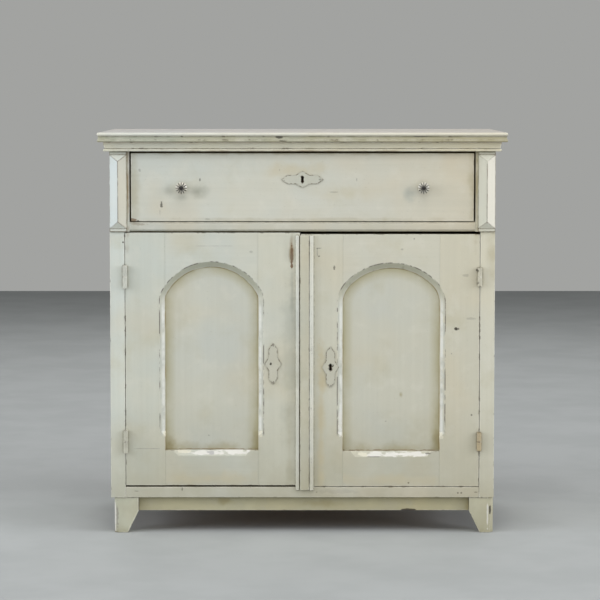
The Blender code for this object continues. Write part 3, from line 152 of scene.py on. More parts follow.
# %% Table of marks
MARKS = {
    "level": [
        (CREAM, -0.301, 0.2085, 0.022, 0.0055, 0.8), (UNDERCOAT, -0.238, 0.2062, 0.05, 0.0064, 0.8),
        (ASH, -0.231, 0.2055, 0.012, 0.006, 0.8), (UNDERCOAT, -0.17, 0.208, 0.036, 0.0078, 0.85),
        (CREAM, 0.155, 0.201, 0.015, 0.006, 0.9), (UNDERCOAT, 0.187, 0.2015, 0.028, 0.0064, 0.85),
        (UNDERCOAT, 0.227, 0.201, 0.03, 0.0062, 0.9), (UNDERCOAT, 0.28, 0.2022, 0.046, 0.0072, 0.85),
        (NICK, 0.183, 0.1955, 0.022, 0.0013, 0.5), (NICK, 0.32, 0.2035, 0.009, 0.0022, 0.6),
        (BARE_WOOD, -0.429, 0.7985, 0.011, 0.004, 0.8),
        (BARE_WOOD, -0.415, 0.788, 0.02, 0.0035, 0.35),
        (NICK, -0.415, 0.7965, 0.004, 0.0022, 0.8), (NICK, 0.27, 0.128, 0.0034, 0.0028, 0.9),
        (NICK, -0.4206, 0.1071, 0.0075, 0.0014, 0.6), (NICK, -0.3063, 0.1122, 0.002, 0.0048, 0.6),
        (NICK, -0.081, 0.163, 0.004, 0.0022, 0.35), (NICK, 0.036, 0.1045, 0.0026, 0.0016, 0.5),
        (NICK, 0.396, 0.102, 0.0026, 0.0026, 0.6), (NICK, 0.4045, 0.1022, 0.0026, 0.0026, 0.6),
        (NICK, 0.4424, 0.1046, 0.006, 0.0018, 0.5), (NICK, 0.08, 0.869, 0.011, 0.0014, 0.35),
        (NICK, 0.137, 0.901, 0.0012, 0.006, 0.4), (NICK, -0.0576, 0.9254, 0.0018, 0.0034, 0.4),
        # The grey and shade marks round the two knobs on these lines are painted shadow.
        (NICK, -0.3563, 0.8376, 0.0036, 0.0075, 0.75), (KNOB_SHADOW, 0.266, 0.868, 0.028, 0.022, 0.75),
        (NICK, -0.36, 0.819, 0.0014, 0.008, 0.3), (NICK, -0.2587, 0.901, 0.0022, 0.0046, 0.55),
        (NICK, -0.411, 0.9243, 0.0034, 0.004, 0.3), (SHADE, -0.266, 0.87, 0.03, 0.02, 0.6),
        (SHADE, -0.335, 0.872, 0.018, 0.018, 0.45), (SHADE, -0.3, 0.856, 0.02, 0.012, 0.4),
        (NICK, 0.253, 0.724, 0.004, 0.0026, 0.3), (NICK, 0.2825, 0.7508, 0.0022, 0.002, 0.6),
        (NICK, -0.1305, 0.718, 0.005, 0.0026, 0.25), (SMOKE, -0.225, 0.733, 0.05, 0.0012, 0.3),
        (NICK, -0.238, 0.801, 0.008, 0.0018, 0.35), (SMOKE, 0.09, 0.106, 0.06, 0.006, 0.15),
        (GRIME, -0.425, 0.88, 0.016, 0.12, 0.35), (GRIME, 0.432, 0.88, 0.018, 0.13, 0.45),
        (GRIME, 0.0, 0.969, 0.46, 0.008, 0.4), (GRIME, 0.0, 0.799, 0.46, 0.007, 0.3),
        (TAN, -0.23, 0.14, 0.22, 0.02, 0.5), (TAN, 0.23, 0.136, 0.22, 0.02, 0.5),
        (TAN, -0.02, 0.925, 0.1, 0.024, 0.5), (TAN, 0.11, 0.87, 0.08, 0.026, 0.3),
    ],
    "upright": [
        (CREAM, -0.35, 0.254, 0.005, 0.009, 0.8), (CREAM, -0.106, 0.254, 0.005, 0.01, 0.8),
        (UNDERCOAT, 0.0955, 0.278, 0.005, 0.04, 0.7), (CREAM, 0.353, 0.248, 0.0055, 0.009, 0.8),
        (UMBER, -0.0275, 0.72, 0.0066, 0.042, 0.9), (BARE_WOOD, -0.0272, 0.706, 0.0038, 0.033, 0.9),
        # The shade marks beside the left door's bead are painted shadow.
        (SHADE, -0.026, 0.62, 0.008, 0.07, 0.6), (SHADE, -0.03, 0.45, 0.03, 0.3, 0.35),
        (SMOKE, -0.472, 0.045, 0.004, 0.035, 0.6), (UNDERCOAT, -0.4775, 0.045, 0.003, 0.05, 0.8),
        (UNDERCOAT, 0.472, 0.05, 0.0022, 0.04, 0.7),
        (NICK, 0.389, 0.5234, 0.0046, 0.005, 0.9), (NICK, 0.396, 0.5225, 0.002, 0.0026, 0.7),
        (NICK, 0.4297, 0.3025, 0.002, 0.003, 0.6), (NICK, -0.4536, 0.743, 0.0028, 0.0034, 0.8),
        (NICK, 0.0804, 0.6777, 0.003, 0.0062, 0.6), (NICK, 0.0424, 0.7272, 0.008, 0.0013, 0.5),
        (NICK, 0.0373, 0.717, 0.0013, 0.012, 0.4), (NICK, 0.042, 0.707, 0.0026, 0.002, 0.6),
        (NICK, 0.412, 0.658, 0.01, 0.0044, 0.22), (NICK, 0.427, 0.549, 0.012, 0.0044, 0.22),
        (SMOKE, 0.378, 0.459, 0.0028, 0.0024, 0.6), (NICK, -0.3457, 0.7315, 0.0028, 0.004, 0.3),
        (NICK, 0.478, 0.056, 0.0028, 0.015, 0.8), (TAN, 0.047, 0.28, 0.012, 0.2, 0.8),
        (TAN, 0.05, 0.42, 0.016, 0.07, 0.8), (GRIME, -0.033, 0.22, 0.011, 0.16, 0.22),
        (SMOKE, -0.3964, 0.2162, 0.056, 0.001, 0.5), (NICK, 0.441, 0.672, 0.003, 0.003, 0.8),
        (GRIME, 0.48, 0.7, 0.02, 0.09, 0.35), (UMBER, -0.442, 0.88, 0.007, 0.17, 0.8),
        (GRIME, 0.438, 0.88, 0.008, 0.17, 0.7),
    ],
    "panel": [
        (GRIME, -0.34, 0.225, 0.02, 0.042, 0.8), (GRIME, 0.342, 0.24, 0.015, 0.07, 0.6),
        (GRIME, -0.118, 0.23, 0.014, 0.05, 0.5), (NICK, -0.2386, 0.249, 0.003, 0.0024, 0.35),
        (GRIME, 0.25, 0.353, 0.006, 0.008, 0.6), (NICK, 0.212, 0.285, 0.002, 0.0016, 0.3),
        (BARE_WOOD, -0.23, 0.2135, 0.122, 0.0026, 0.6), (BARE_WOOD, 0.225, 0.2105, 0.127, 0.0026, 0.6),
        (GRIME, -0.23, 0.215, 0.125, 0.02, 0.5), (GRIME, 0.225, 0.212, 0.13, 0.02, 0.5),
    ],
    "moulding": [
        (NICK, -0.058, 1.008, 0.011, 0.005, 0.8), (NICK, 0.05, 1.012, 0.023, 0.0016, 0.7),
        (NICK, -0.365, 1.011, 0.016, 0.0016, 0.7), (NICK, 0.3, 1.01, 0.026, 0.0018, 0.7),
        (UMBER, 0.0, 0.973, 0.5, 0.0024, 0.7), (NICK, -0.05, 0.999, 0.014, 0.002, 0.6),
    ],
    "apron": [
        (NICK, 0.268, 0.056, 0.022, 0.004, 0.9), (GRIME, -0.428, 0.072, 0.014, 0.02, 0.7),
        (GRIME, -0.196, 0.078, 0.03, 0.014, 0.6), (GRIME, 0.05, 0.072, 0.08, 0.014, 0.5),
        (GRIME, 0.43, 0.07, 0.016, 0.02, 0.7),
    ],
    "plate": [
        (NICK, -0.0806, 0.4335, 0.0026, 0.003, 0.9), (NICK, -0.0738, 0.4808, 0.003, 0.0034, 0.5),
        (NICK, -0.0738, 0.3866, 0.003, 0.003, 0.5), (NICK, 0.0731, 0.376, 0.0032, 0.003, 0.5),
        (NICK, -0.053, 0.901, 0.003, 0.0034, 0.6), (NICK, -0.047, 0.8964, 0.0034, 0.0026, 0.6),
        (NICK, 0.045, 0.901, 0.004, 0.003, 0.4), (NICK, 0.0758, 0.4288, 0.005, 0.0034, 0.95),
        (NICK, 0.0688, 0.4215, 0.0044, 0.0044, 0.9), (NICK, 0.4421, 0.669, 0.0036, 0.0058, 0.8),
        (NICK, 0.444, 0.64, 0.003, 0.004, 0.5), (NICK, -0.439, 0.218, 0.003, 0.005, 0.6),
    ],
}
print("marks:", sum(len(rows) for rows in MARKS.values()))

# %% [markdown]
# ## Lines along the door openings
#
# A stopped chamfer runs round the arched opening of each door. On the real doors the paint has cracked
# along the chamfer's outer edge, is rubbed pale on its slope and has gone brown where the panel meets the
# frame. The pale slope beside the straight edges also carries a painted highlight, and the chamfer under
# the crown painted shade. These lines could be modelled as thin strips, but they are only colour. So the
# material works out how far a point of the front lies outside the opening: beside the straight edges and
# the shoulders from a small circle, above them from the large circle of the crown.

# %% Distance from an opening
# The pieces left and right of each opening, the arch's rise, its shoulder radius and its crown's height.
ARCHES = {"left": ("left_door_hinge_stile", "left_door_meeting_stile", 0.084, 0.036, 0.6790),
          "right": ("right_door_meeting_stile", "right_door_hinge_stile", 0.090, 0.066, 0.6760)}


def opening(tree, axes, side):
    """How far a point of the front lies outside the edge of a door's arched opening, in metres."""
    first, last, rise, shoulder, crown = ARCHES[side]
    low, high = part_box(first)[1].x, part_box(last)[0].x
    offset = (high - low) / 2 - shoulder
    spare = rise - shoulder
    drop = (offset ** 2 - spare ** 2) / (2 * spare)
    across = add(tree, "Math", {0: axes[0], 1: (low + high) / 2}, operation="SUBTRACT").outputs[0]
    across = add(tree, "Math", {0: across}, operation="ABSOLUTE").outputs[0]
    up = add(tree, "Math", {0: axes[2], 1: crown - rise}, operation="SUBTRACT").outputs[0]
    beyond = add(tree, "Math", {0: across, 1: offset}, operation="SUBTRACT").outputs[0]
    corner = add(tree, "CombineXYZ", {0: beyond, 1: up}).outputs[0]
    corner = add(tree, "VectorMath", {0: corner, 1: (0, 0, 0)}, operation="MAXIMUM").outputs[0]
    reach = add(tree, "VectorMath", {0: corner}, operation="LENGTH").outputs["Value"]
    beside = add(tree, "Math", {0: reach, 1: shoulder}, operation="SUBTRACT").outputs[0]
    raised = add(tree, "Math", {0: up, 1: drop}, operation="ADD").outputs[0]
    ray = add(tree, "CombineXYZ", {0: across, 1: raised}).outputs[0]
    length = add(tree, "VectorMath", {0: ray}, operation="LENGTH").outputs["Value"]
    above = add(tree, "Math", {0: length, 1: rise + drop}, operation="SUBTRACT").outputs[0]
    slope = add(tree, "Math", {0: across, 1: drop / offset}, operation="MULTIPLY").outputs[0]
    crowned = add(tree, "Math", {0: raised, 1: slope}, operation="GREATER_THAN").outputs[0]
    return add(tree, "Mix", {0: crowned, 2: beside, 3: above}, data_type="FLOAT").outputs[0]


print("crowns at z =", [arch[-1] for arch in ARCHES.values()])

# %% Colours and reach of the lines
PANEL_STAIN, JOINT_STAIN, CRACK = "#A39A6C", "#96845A", "#575049"
# The pale chamfer colour is rubbed paint and a painted highlight; the arch colour is painted shade under the
# crown.
CHAMFER_GREY, CHAMFER_PALE_AND_HIGHLIGHT, ARCH_PAINTED_SHADE = "#B4B6AC", "#E0E0D8", "#A3A38C"
CHAMFER = 0.014
JOINT_HALF, CRACK_HALF = 0.0018, 0.0019
# Heights between which a line fades in: the arch, the straight edge, the chamfer's stop, the sill.
HEIGHTS = ((0.575, 0.635), (0.625, 0.565), (0.248, 0.256), (0.210, 0.214))
# Distances between which a colour fades in: the panel, the slope's start, its end, the end of its pale part.
DISTANCES = ((0.0004, -0.0004), (0.001, 0.003), (CHAMFER, CHAMFER - 0.002), (0.0105, 0.0070))
STAIN_FADE, STAIN_MOST = (-0.028, -0.001), 0.65
print("chamfer", CHAMFER * 1000, "mm wide")


# %% Lines of an opening
def line_opening(tree, place, axes, colour, side):
    """Dark breaks along the chamfer's outer edge, a paler chamfer with a painted highlight, painted shade
    under the crown, and brown where panel and frame meet.
    """
    out = opening(tree, axes, side)
    arched, straight, risen, over_sill = (
        add(tree, "MapRange", {0: axes[2], 1: none, 2: full}).outputs[0] for none, full in HEIGHTS)
    inside, slope, within, inner = (
        add(tree, "MapRange", {0: out, 1: none, 2: full}).outputs[0] for none, full in DISTANCES)
    ramp = {0: out, 1: STAIN_FADE[0], 2: STAIN_FADE[1], 3: 0.0, 4: STAIN_MOST}
    halo = add(tree, "MapRange", ramp).outputs[0]
    stain = lumps(tree, place, size_mm=80, low=0.25, high=0.60, least=0.45)
    colour = lay(tree, colour, PANEL_STAIN, inside, halo, over_sill, stain)
    greyed = lumps(tree, place, size_mm=28, low=0.30, high=0.60, amount=0.7)
    colour = lay(tree, colour, CHAMFER_GREY, slope, within, straight, risen, greyed)
    # Pale slope beside the straight edges: rubbed paint and a painted highlight.
    worn_and_lit = lumps(tree, place, size_mm=35, low=0.28, high=0.60, amount=0.85, detail=4.0)
    colour = lay(tree, colour, CHAMFER_PALE_AND_HIGHLIGHT, slope, inner, straight, risen, worn_and_lit)
    # Painted shade on the chamfer under the crown.
    arch_shade_patches = lumps(tree, place, size_mm=50, low=0.20, high=0.60, amount=0.6, least=0.35)
    colour = lay(tree, colour, ARCH_PAINTED_SHADE, slope, within, arched, arch_shade_patches)
    stained = lumps(tree, place, 30, 0.38, 0.62, amount=0.8, stretch=(1, 1, 2), detail=4.0, least=0.1)
    cracked = lumps(tree, place, 16, 0.46, 0.57, amount=0.8, stretch=(1, 1, 2.5), detail=4.0)
    for middle, half, code, part, breaks in ((0.0, JOINT_HALF, JOINT_STAIN, over_sill, stained),
                                             (CHAMFER, CRACK_HALF, CRACK, risen, cracked)):
        away = add(tree, "Math", {0: out, 1: middle}, operation="SUBTRACT").outputs[0]
        away = add(tree, "Math", {0: away}, operation="ABSOLUTE").outputs[0]
        line = add(tree, "MapRange", {0: away, 1: half, 2: half / 3}).outputs[0]
        colour = lay(tree, colour, code, line, part, breaks)
    return colour


print("stain reaches", -STAIN_FADE[0] * 1000, "mm into a panel")

# %% [markdown]
# ## Brushed coat
#
# Brushed oil paint is never one colour. It yellows in drifts, here more towards the right, lies in paler
# and browner clouds, and the brush leaves fine streaks along the board. A plain colour would look like
# plastic, so each of these is a field of noise with its own size, laid over the last one.

# %% Brushed coat
CLOUD_PALE, CLOUD_BROWN, STREAK, SPECK = "#D9D6C8", "#B0A780", "#A5A493", "#8C8A77"
YELLOW_FROM, YELLOW_TO = -0.25, 0.50


def brush_coat(tree, place, axes, grain, shades, yellow, clouds):
    """Paint in drifts of three shades, yellower to the right, with clouds and specks; also the streaks."""
    pale, cool, warm = shades
    colour = lay(tree, pale, cool, lumps(tree, place, size_mm=260, low=0.38, high=0.66))
    drift = lumps(tree, place, size_mm=210, low=0.46, high=0.74, amount=0.35, detail=2.0)
    colour = lay(tree, colour, warm, drift)
    ramp = {0: axes[0], 1: YELLOW_FROM, 2: YELLOW_TO, 3: 0.0, 4: yellow}
    colour = lay(tree, colour, warm, add(tree, "MapRange", ramp).outputs[0])
    cloud = lumps(tree, place, size_mm=45, low=0.50, high=0.70, amount=clouds, detail=4.0)
    colour = lay(tree, colour, CLOUD_PALE, cloud)
    cloud = lumps(tree, place, size_mm=95, low=0.52, high=0.78, amount=clouds, detail=4.0)
    colour = lay(tree, colour, CLOUD_BROWN, cloud)
    # Bristle streaks are about 1 mm wide, too fine to show, so they are drawn 9 mm wide.
    streak = lumps(tree, place, size_mm=9.0, low=0.28, high=0.72, amount=0.10, stretch=grain, detail=5.0)
    colour = lay(tree, colour, STREAK, streak)
    specks = lumps(tree, place, size_mm=3.0, low=0.71, high=0.77, amount=0.35, detail=1.0)
    return lay(tree, colour, SPECK, specks), streak


print("paint yellows from x =", YELLOW_FROM, "to", YELLOW_TO)

# %% [markdown]
# ## Dirt, painted shade and rubbed edges
#
# The paint gets darker and yellower towards the bottom, dirt and painted shade darken corners and tight
# seams, and hands rub the edges pale, then down to a dark line where the wood shows. Both could be painted
# by hand, corner by corner. It is quicker to ask the surface: ambient occlusion tells how closed in a point
# is, and the Bevel node how much the surface turns within a few millimetres.

# %% Dirt and painted shade
# Colours: darker and yellower towards the bottom, dirt and painted shade in corners and in seams.
LOW_DARKENING, CORNER_DIRT_AND_SHADE, SEAM_DIRT_AND_SHADE = "#A09A7F", "#8A8262", "#4F452F"
DIRT_AND_SHADE_REACH, SEAM_REACH = 0.030, 0.006
DIRT_AND_SHADE_OPEN, SEAM_OPEN = (0.85, 0.30), (0.86, 0.45)
LOW_DARK_TOP, LOW_DARK_MOST = 0.34, 0.75


def settle_dirt_and_shade(tree, place, axes, colour, dirt, seams):
    """Darker and yellower towards the bottom; dirt and painted shade in corners and in tight seams."""
    # Darker and yellower towards the bottom.
    ramp = {0: axes[2], 1: LOW_DARK_TOP, 2: 0.0, 3: 0.0, 4: LOW_DARK_MOST}
    low = add(tree, "MapRange", ramp).outputs[0]
    smeared = lumps(tree, place, size_mm=90, low=0.25, high=0.60, least=0.5)
    colour = lay(tree, colour, LOW_DARKENING, low, smeared)
    # Dirt and painted shade in corners: the more closed in a point is, the darker it gets.
    closed = add(tree, "AmbientOcclusion", {"Distance": DIRT_AND_SHADE_REACH}, samples=8).outputs["AO"]
    ramp = {0: closed, 1: DIRT_AND_SHADE_OPEN[0], 2: DIRT_AND_SHADE_OPEN[1], 3: 0.0, 4: dirt}
    settled_and_shaded = add(tree, "MapRange", ramp, interpolation_type="SMOOTHSTEP").outputs[0]
    patchy = lumps(tree, place, size_mm=45, low=0.30, high=0.62, detail=4.0, least=0.35)
    colour = lay(tree, colour, CORNER_DIRT_AND_SHADE, settled_and_shaded, patchy)
    # Dark lines of dirt and painted shade in tight seams.
    tight = add(tree, "AmbientOcclusion", {"Distance": SEAM_REACH}, samples=8).outputs["AO"]
    ramp = {0: tight, 1: SEAM_OPEN[0], 2: SEAM_OPEN[1], 3: 0.0, 4: seams}
    seam = add(tree, "MapRange", ramp).outputs[0]
    broken = lumps(tree, place, size_mm=10, low=0.42, high=0.60, detail=4.0, least=0.1)
    return lay(tree, colour, SEAM_DIRT_AND_SHADE, seam, broken)


print("dirt and painted shade reach", DIRT_AND_SHADE_REACH * 1000, "mm, seams", SEAM_REACH * 1000, "mm")

# %% Rubbed edges
RUBBED, WORN_THROUGH, FOLD_DIRT = "#E4E1D3", "#4B3B28", "#5E4C33"
EDGE = 0.0035
# How alike the real and the rounded normal are where wear begins and where it is full.
EDGE_TURN, FOLD_TURN = (0.992, 0.94), (0.998, 0.986)
BARE_STEP = 0.09


def rub_edges(tree, place, axes, colour, rub, bare, joints, ridge):
    """Edges rubbed pale and through to the wood, except along joints, and dirt along a block's ridges."""
    turned = add(tree, "Bevel", {"Radius": EDGE}, samples=6).outputs[0]
    facing = add(tree, "NewGeometry").outputs["Normal"]
    alike = add(tree, "VectorMath", {0: turned, 1: facing}, operation="DOT_PRODUCT")
    same = alike.outputs["Value"]
    edge = add(tree, "MapRange", {0: same, 1: EDGE_TURN[0], 2: EDGE_TURN[1]}).outputs[0]
    for joint in joints:
        away = add(tree, "Math", {0: axes[0], 1: joint}, operation="SUBTRACT").outputs[0]
        away = add(tree, "Math", {0: away}, operation="ABSOLUTE").outputs[0]
        clear = add(tree, "MapRange", {0: away, 1: EDGE, 2: 2 * EDGE}).outputs[0]
        edge = add(tree, "Math", {0: edge, 1: clear}, operation="MULTIPLY").outputs[0]
    rubbing = lumps(tree, place, size_mm=30, low=0.36, high=0.56, amount=rub, detail=4.0)
    colour = lay(tree, colour, RUBBED, edge, rubbing)
    through = lumps(tree, place, size_mm=21, low=bare, high=bare + BARE_STEP, amount=0.85, detail=5.0)
    colour = lay(tree, colour, WORN_THROUGH, edge, through)
    if ridge:
        ramp = {0: same, 1: FOLD_TURN[0], 2: FOLD_TURN[1], 3: 0.0, 4: ridge}
        fold = add(tree, "MapRange", ramp).outputs[0]
        grimed = lumps(tree, place, size_mm=25, low=0.30, high=0.55, least=0.35)
        colour = lay(tree, colour, FOLD_DIRT, fold, grimed)
    return colour


print("edges are rubbed", EDGE * 1000, "mm wide")

# %% [markdown]
# ## Marks on the paint
#
# A chip has a ragged outline and a stain fades away. Both start from the same ellipse: noise is added to
# the distance from its middle, fine noise for chips and broad noise for stains, before the edge is drawn.

# %% Marks on the paint
# Distances from the middle, in half sizes, at which a mark begins and at which it is full.
STAIN_EDGE, CHIP_EDGE = (1.6, 0.4), (1.4, 1.15)


def lay_marks(tree, place, colour, rows):
    """The marks of one paint over its colour."""
    ragged = lumps(tree, place, size_mm=7, low=0.25, high=0.75, amount=0.9, stretch=(2.5, 1, 1), detail=4.0)
    mellow = lumps(tree, place, size_mm=55, low=0.25, high=0.75, amount=0.9)
    for code, x, z, half_x, half_z, strength in rows:
        offset = add(tree, "VectorMath", {0: place, 1: (x, 0, z)}, operation="SUBTRACT").outputs[0]
        scale = (1 / half_x, 0, 1 / half_z)
        local = add(tree, "VectorMath", {0: offset, 1: scale}, operation="MULTIPLY").outputs[0]
        reach = add(tree, "VectorMath", {0: local}, operation="LENGTH").outputs["Value"]
        outline, (begins, full) = (mellow, STAIN_EDGE) if code in FADED else (ragged, CHIP_EDGE)
        uneven = add(tree, "Math", {0: reach, 1: outline}, operation="ADD").outputs[0]
        ramp = {0: uneven, 1: begins, 2: full, 3: 0.0, 4: strength}
        mask = add(tree, "MapRange", ramp, interpolation_type="SMOOTHSTEP").outputs[0]
        colour = lay(tree, colour, code, mask)
    return colour


print("stains fade from", STAIN_EDGE[0], "to", STAIN_EDGE[1], "half sizes")

# %% [markdown]
# ## Paint
#
# The old coat is oil paint, put on by brush and gone dull: it reflects little, with patches that are a
# bit smoother, and the brush left shallow ridges. The material joins the steps above. Marks and lines
# only belong on the front, so they stop a little behind the front plane and the backs of the doors stay
# plain.

# %% Paint material
DEPTH_FADE = 0.001
PAINT_SHINE, RIDGE_BUMP, RIDGE_HEIGHT = 0.35, 0.22, 0.0012


# dirt sets how much dirt and painted shade gather in corners; seams, how dark the tight seams get.
def make_paint(name, grain, shades, marks=(), dirt=0.8, rub=0.7, bare=0.57, joints=(), seams=0.6,
               lined=False, ridge=0.0, yellow=0.50, clouds=0.25, reach=0.013):
    """Old brushed oil paint: to the eye dull, uneven and thick, with dirt and painted shade, rubbed edges
    and marks.
    """
    material, tree, shader, place = start_material(name)
    axes = add(tree, "SeparateXYZ", {0: place}).outputs
    colour, streak = brush_coat(tree, place, axes, grain, shades, yellow, clouds)
    colour = settle_dirt_and_shade(tree, place, axes, colour, dirt, seams)
    colour = rub_edges(tree, place, axes, colour, rub, bare, joints, ridge)
    marked = colour
    for side in ARCHES if lined else ():
        marked = line_opening(tree, place, axes, marked, side)
    marked = lay_marks(tree, place, marked, marks)
    depth = FRONT + reach
    front = add(tree, "MapRange", {0: axes[1], 1: depth + DEPTH_FADE, 2: depth}).outputs[0]
    colour = lay(tree, colour, marked, front)
    tree.links.new(colour, shader.inputs["Base Color"])
    dull = lumps(tree, place, size_mm=60, low=0.3, high=0.7, amount=0.62, least=0.42)
    tree.links.new(dull, shader.inputs["Roughness"])
    shader.inputs["Specular IOR Level"].default_value = PAINT_SHINE
    swell = lumps(tree, place, size_mm=110, low=0.0, high=1.0, detail=2.0)
    ridges = add(tree, "Math", {0: streak, 1: swell}, operation="ADD").outputs[0]
    bump = {"Height": ridges, "Strength": RIDGE_BUMP, "Distance": RIDGE_HEIGHT}
    tree.links.new(add(tree, "Bump", bump).outputs[0], shader.inputs["Normal"])
    return material


print("brush ridges", RIDGE_HEIGHT * 1000, "mm high at most")

# %% [markdown]
# ## Paints of the doors
#
# Every board was brushed along its length, and each kind of piece has aged in its own way, so each gets
# its own mix: a pale, a cool and a warm shade, and how much dirt and painted shade, rubbing and yellowing
# it has. The rails and stiles of a door lie flush, so the joints between them are left out of the rubbed
# edges.

# %% Paints of the doors
UPRIGHT, LEVEL, DEPTH = (1, 1, 50), (50, 1, 1), (1, 50, 1)
DOOR_JOINTS = [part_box(f"{side}_door_{stile}")[corner].x for side, stile, corner in (
    ("left", "hinge_stile", 1), ("left", "meeting_stile", 0),
    ("right", "meeting_stile", 1), ("right", "hinge_stile", 0))]
PAINT = {
    # Cool grey-green, lightly rubbed, with the lines of the openings.
    "door_upright": make_paint("sage oil paint on door stiles", UPRIGHT, ("#CBCBBC", "#C5C9BF", "#CDC0A2"),
                               MARKS["upright"], dirt=0.6, rub=0.5, bare=0.52, joints=DOOR_JOINTS,
                               lined=True),
    "door_level": make_paint("sage oil paint on door rails", LEVEL, ("#CBCBBD", "#C5C9C0", "#CDC0A3"),
                             MARKS["level"], dirt=0.6, rub=0.5, bare=0.52, joints=DOOR_JOINTS, lined=True,
                             yellow=0.35),
    # A shade darker and calmer, brown round the rim.
    "panel": make_paint("sage oil paint on a panel", UPRIGHT, ("#C8C7B8", "#C3C5BB", "#CBBFA1"),
                        MARKS["panel"], dirt=0.5, rub=0.3, seams=0.2, lined=True, yellow=0.22),
    # Pale and much rubbed beads with a painted highlight, and a duller flat between them.
    "bead": make_paint("pale oil paint with a painted highlight on the bead", UPRIGHT, ("#D4D5CA", "#D0D5D0", "#D6CEB6"),
                       MARKS["upright"], rub=0.9),
    "strip": make_paint("sage oil paint on the meeting strip", UPRIGHT, ("#C5C3B0", "#C1C3B5", "#C9BB9B"),
                        MARKS["upright"]),
}
print("door paints:", ", ".join(PAINT))

# %% [markdown]
# ## Paints of the carcass
#
# The carcass has the same paint, but light, hands and damp have changed it more: the top is worn grey,
# its nosing creamy, the hollow below olive with dirt and painted shade, and the wood near the floor yellow.

# %% Paints of the carcass
PAINT.update({
    # The general coat: pale sage with soft streaks.
    "upright": make_paint("sage oil paint brushed upright", UPRIGHT, ("#D3D4C6", "#CFD4CC", "#D1C5A7"),
                          MARKS["upright"]),
    "level": make_paint("sage oil paint brushed level", LEVEL, ("#CCCBBD", "#C8CBC2", "#CFC0A2"),
                        MARKS["level"]),
    # A darker copy of the level paint: painted shade under the drawer.
    "rail": make_paint("sage oil paint with painted shade under the drawer", LEVEL, ("#C4C2B3", "#BFC2B9", "#C8B898"),
                       MARKS["level"]),
    # Yellow-brown and grimy near the floor.
    "apron": make_paint("yellowed oil paint low down", LEVEL, ("#CBC4A0", "#C4C3A6", "#C8B886"),
                        MARKS["apron"], dirt=0.9, rub=0.6, reach=0.030),
    "foot": make_paint("sage oil paint low down", UPRIGHT, ("#D3D4C1", "#CBD1C2", "#D2C8A8"),
                       MARKS["upright"], dirt=0.7, rub=0.9),
    # Bright mouldings with a dark hollow between them, olive with dirt and painted shade.
    "moulding": make_paint("sage oil paint on mouldings", LEVEL, ("#DFDCC5", "#DADACA", "#DCD1AF"),
                           MARKS["moulding"], seams=0.3),
    "nosing": make_paint("cream oil paint on the nosing", LEVEL, ("#D2CFC0", "#CDCEC3", "#D0C7AD"),
                         dirt=0.5, rub=0.9, seams=0.2),
    "hollow": make_paint("olive oil paint with painted shade under the nosing", LEVEL, ("#A3A086", "#9DA08E", "#A39875"),
                         MARKS["moulding"], dirt=0.7, rub=0.4, seams=0.2),
    # Greyed and even.
    "top": make_paint("worn grey-white oil paint", LEVEL, ("#B0ABA5", "#ABAAA6", "#B2A999"),
                      dirt=0.5, rub=0.8, clouds=0.06),
})
print("paints so far:", len(PAINT))

# %% [markdown]
# ## Paints of the blocks and the ironwork
#
# The hipped corner blocks get a painted highlight on their outer slopes and hold dirt along their ridges.
# The hinges and escutcheons were painted over in place, and rust stains the lower right hinge.

# %% Paints of the blocks and the ironwork
PAINT.update({
    # Dull in the middle, a painted highlight on the outer slopes, warm inside, with brown ridges.
    "block": make_paint("sage oil paint on corner blocks", UPRIGHT, ("#CFCFC0", "#CBCFC7", "#CDC5AC"),
                        dirt=0.9, rub=0.4, bare=0.5, ridge=0.9, yellow=0.2),
    "block_bright": make_paint("pale oil paint on the blocks' outer faces", UPRIGHT,
                               ("#D6DCD8", "#D2DBDA", "#E6E0CF"), dirt=0.6, rub=0.5, bare=0.5, ridge=0.9,
                               yellow=0.9),
    "block_warm": make_paint("warm oil paint on a block's inner face", UPRIGHT,
                             ("#CFCAB9", "#CCCABC", "#CDBF9F"), dirt=0.9, rub=0.4, bare=0.5, ridge=0.9),
    # Tan, with much dark at the edges.
    "rusty": make_paint("paint stained by rust", UPRIGHT, ("#C2B491", "#BBB198", "#B4986A"),
                        dirt=1.0, rub=0.5, bare=0.40),
    # Sage and dirty, with dark dots where the coat is broken.
    "iron": make_paint("sage oil paint over iron", UPRIGHT, ("#C3C2B3", "#BFC1B6", "#C2B99F"),
                       MARKS["plate"], dirt=1.0, bare=0.46),
})
print("paints:", ", ".join(PAINT))

# %% [markdown]
# ## Bare pine
#
# Inside, the cabinet is bare pine gone brown. Pine shows bands of early and late wood along each board,
# with finer fibres between, and it darkens in corners with dirt and painted shade. A picture of boards would
# repeat, so the bands are noise drawn out fifty times along the grain. Planed bare wood is dull, so the
# roughness is high.

# %% Bare pine
EARLY_WOOD, LATE_WOOD, FIBRE, DULLED, PINE_DIRT_AND_SHADE = "#B98F5C", "#8F683C", "#6F4E2B", "#7A6444", "#4A3822"
PINE_OPEN, PINE_ROUGHNESS = (0.8, 0.2), 0.72


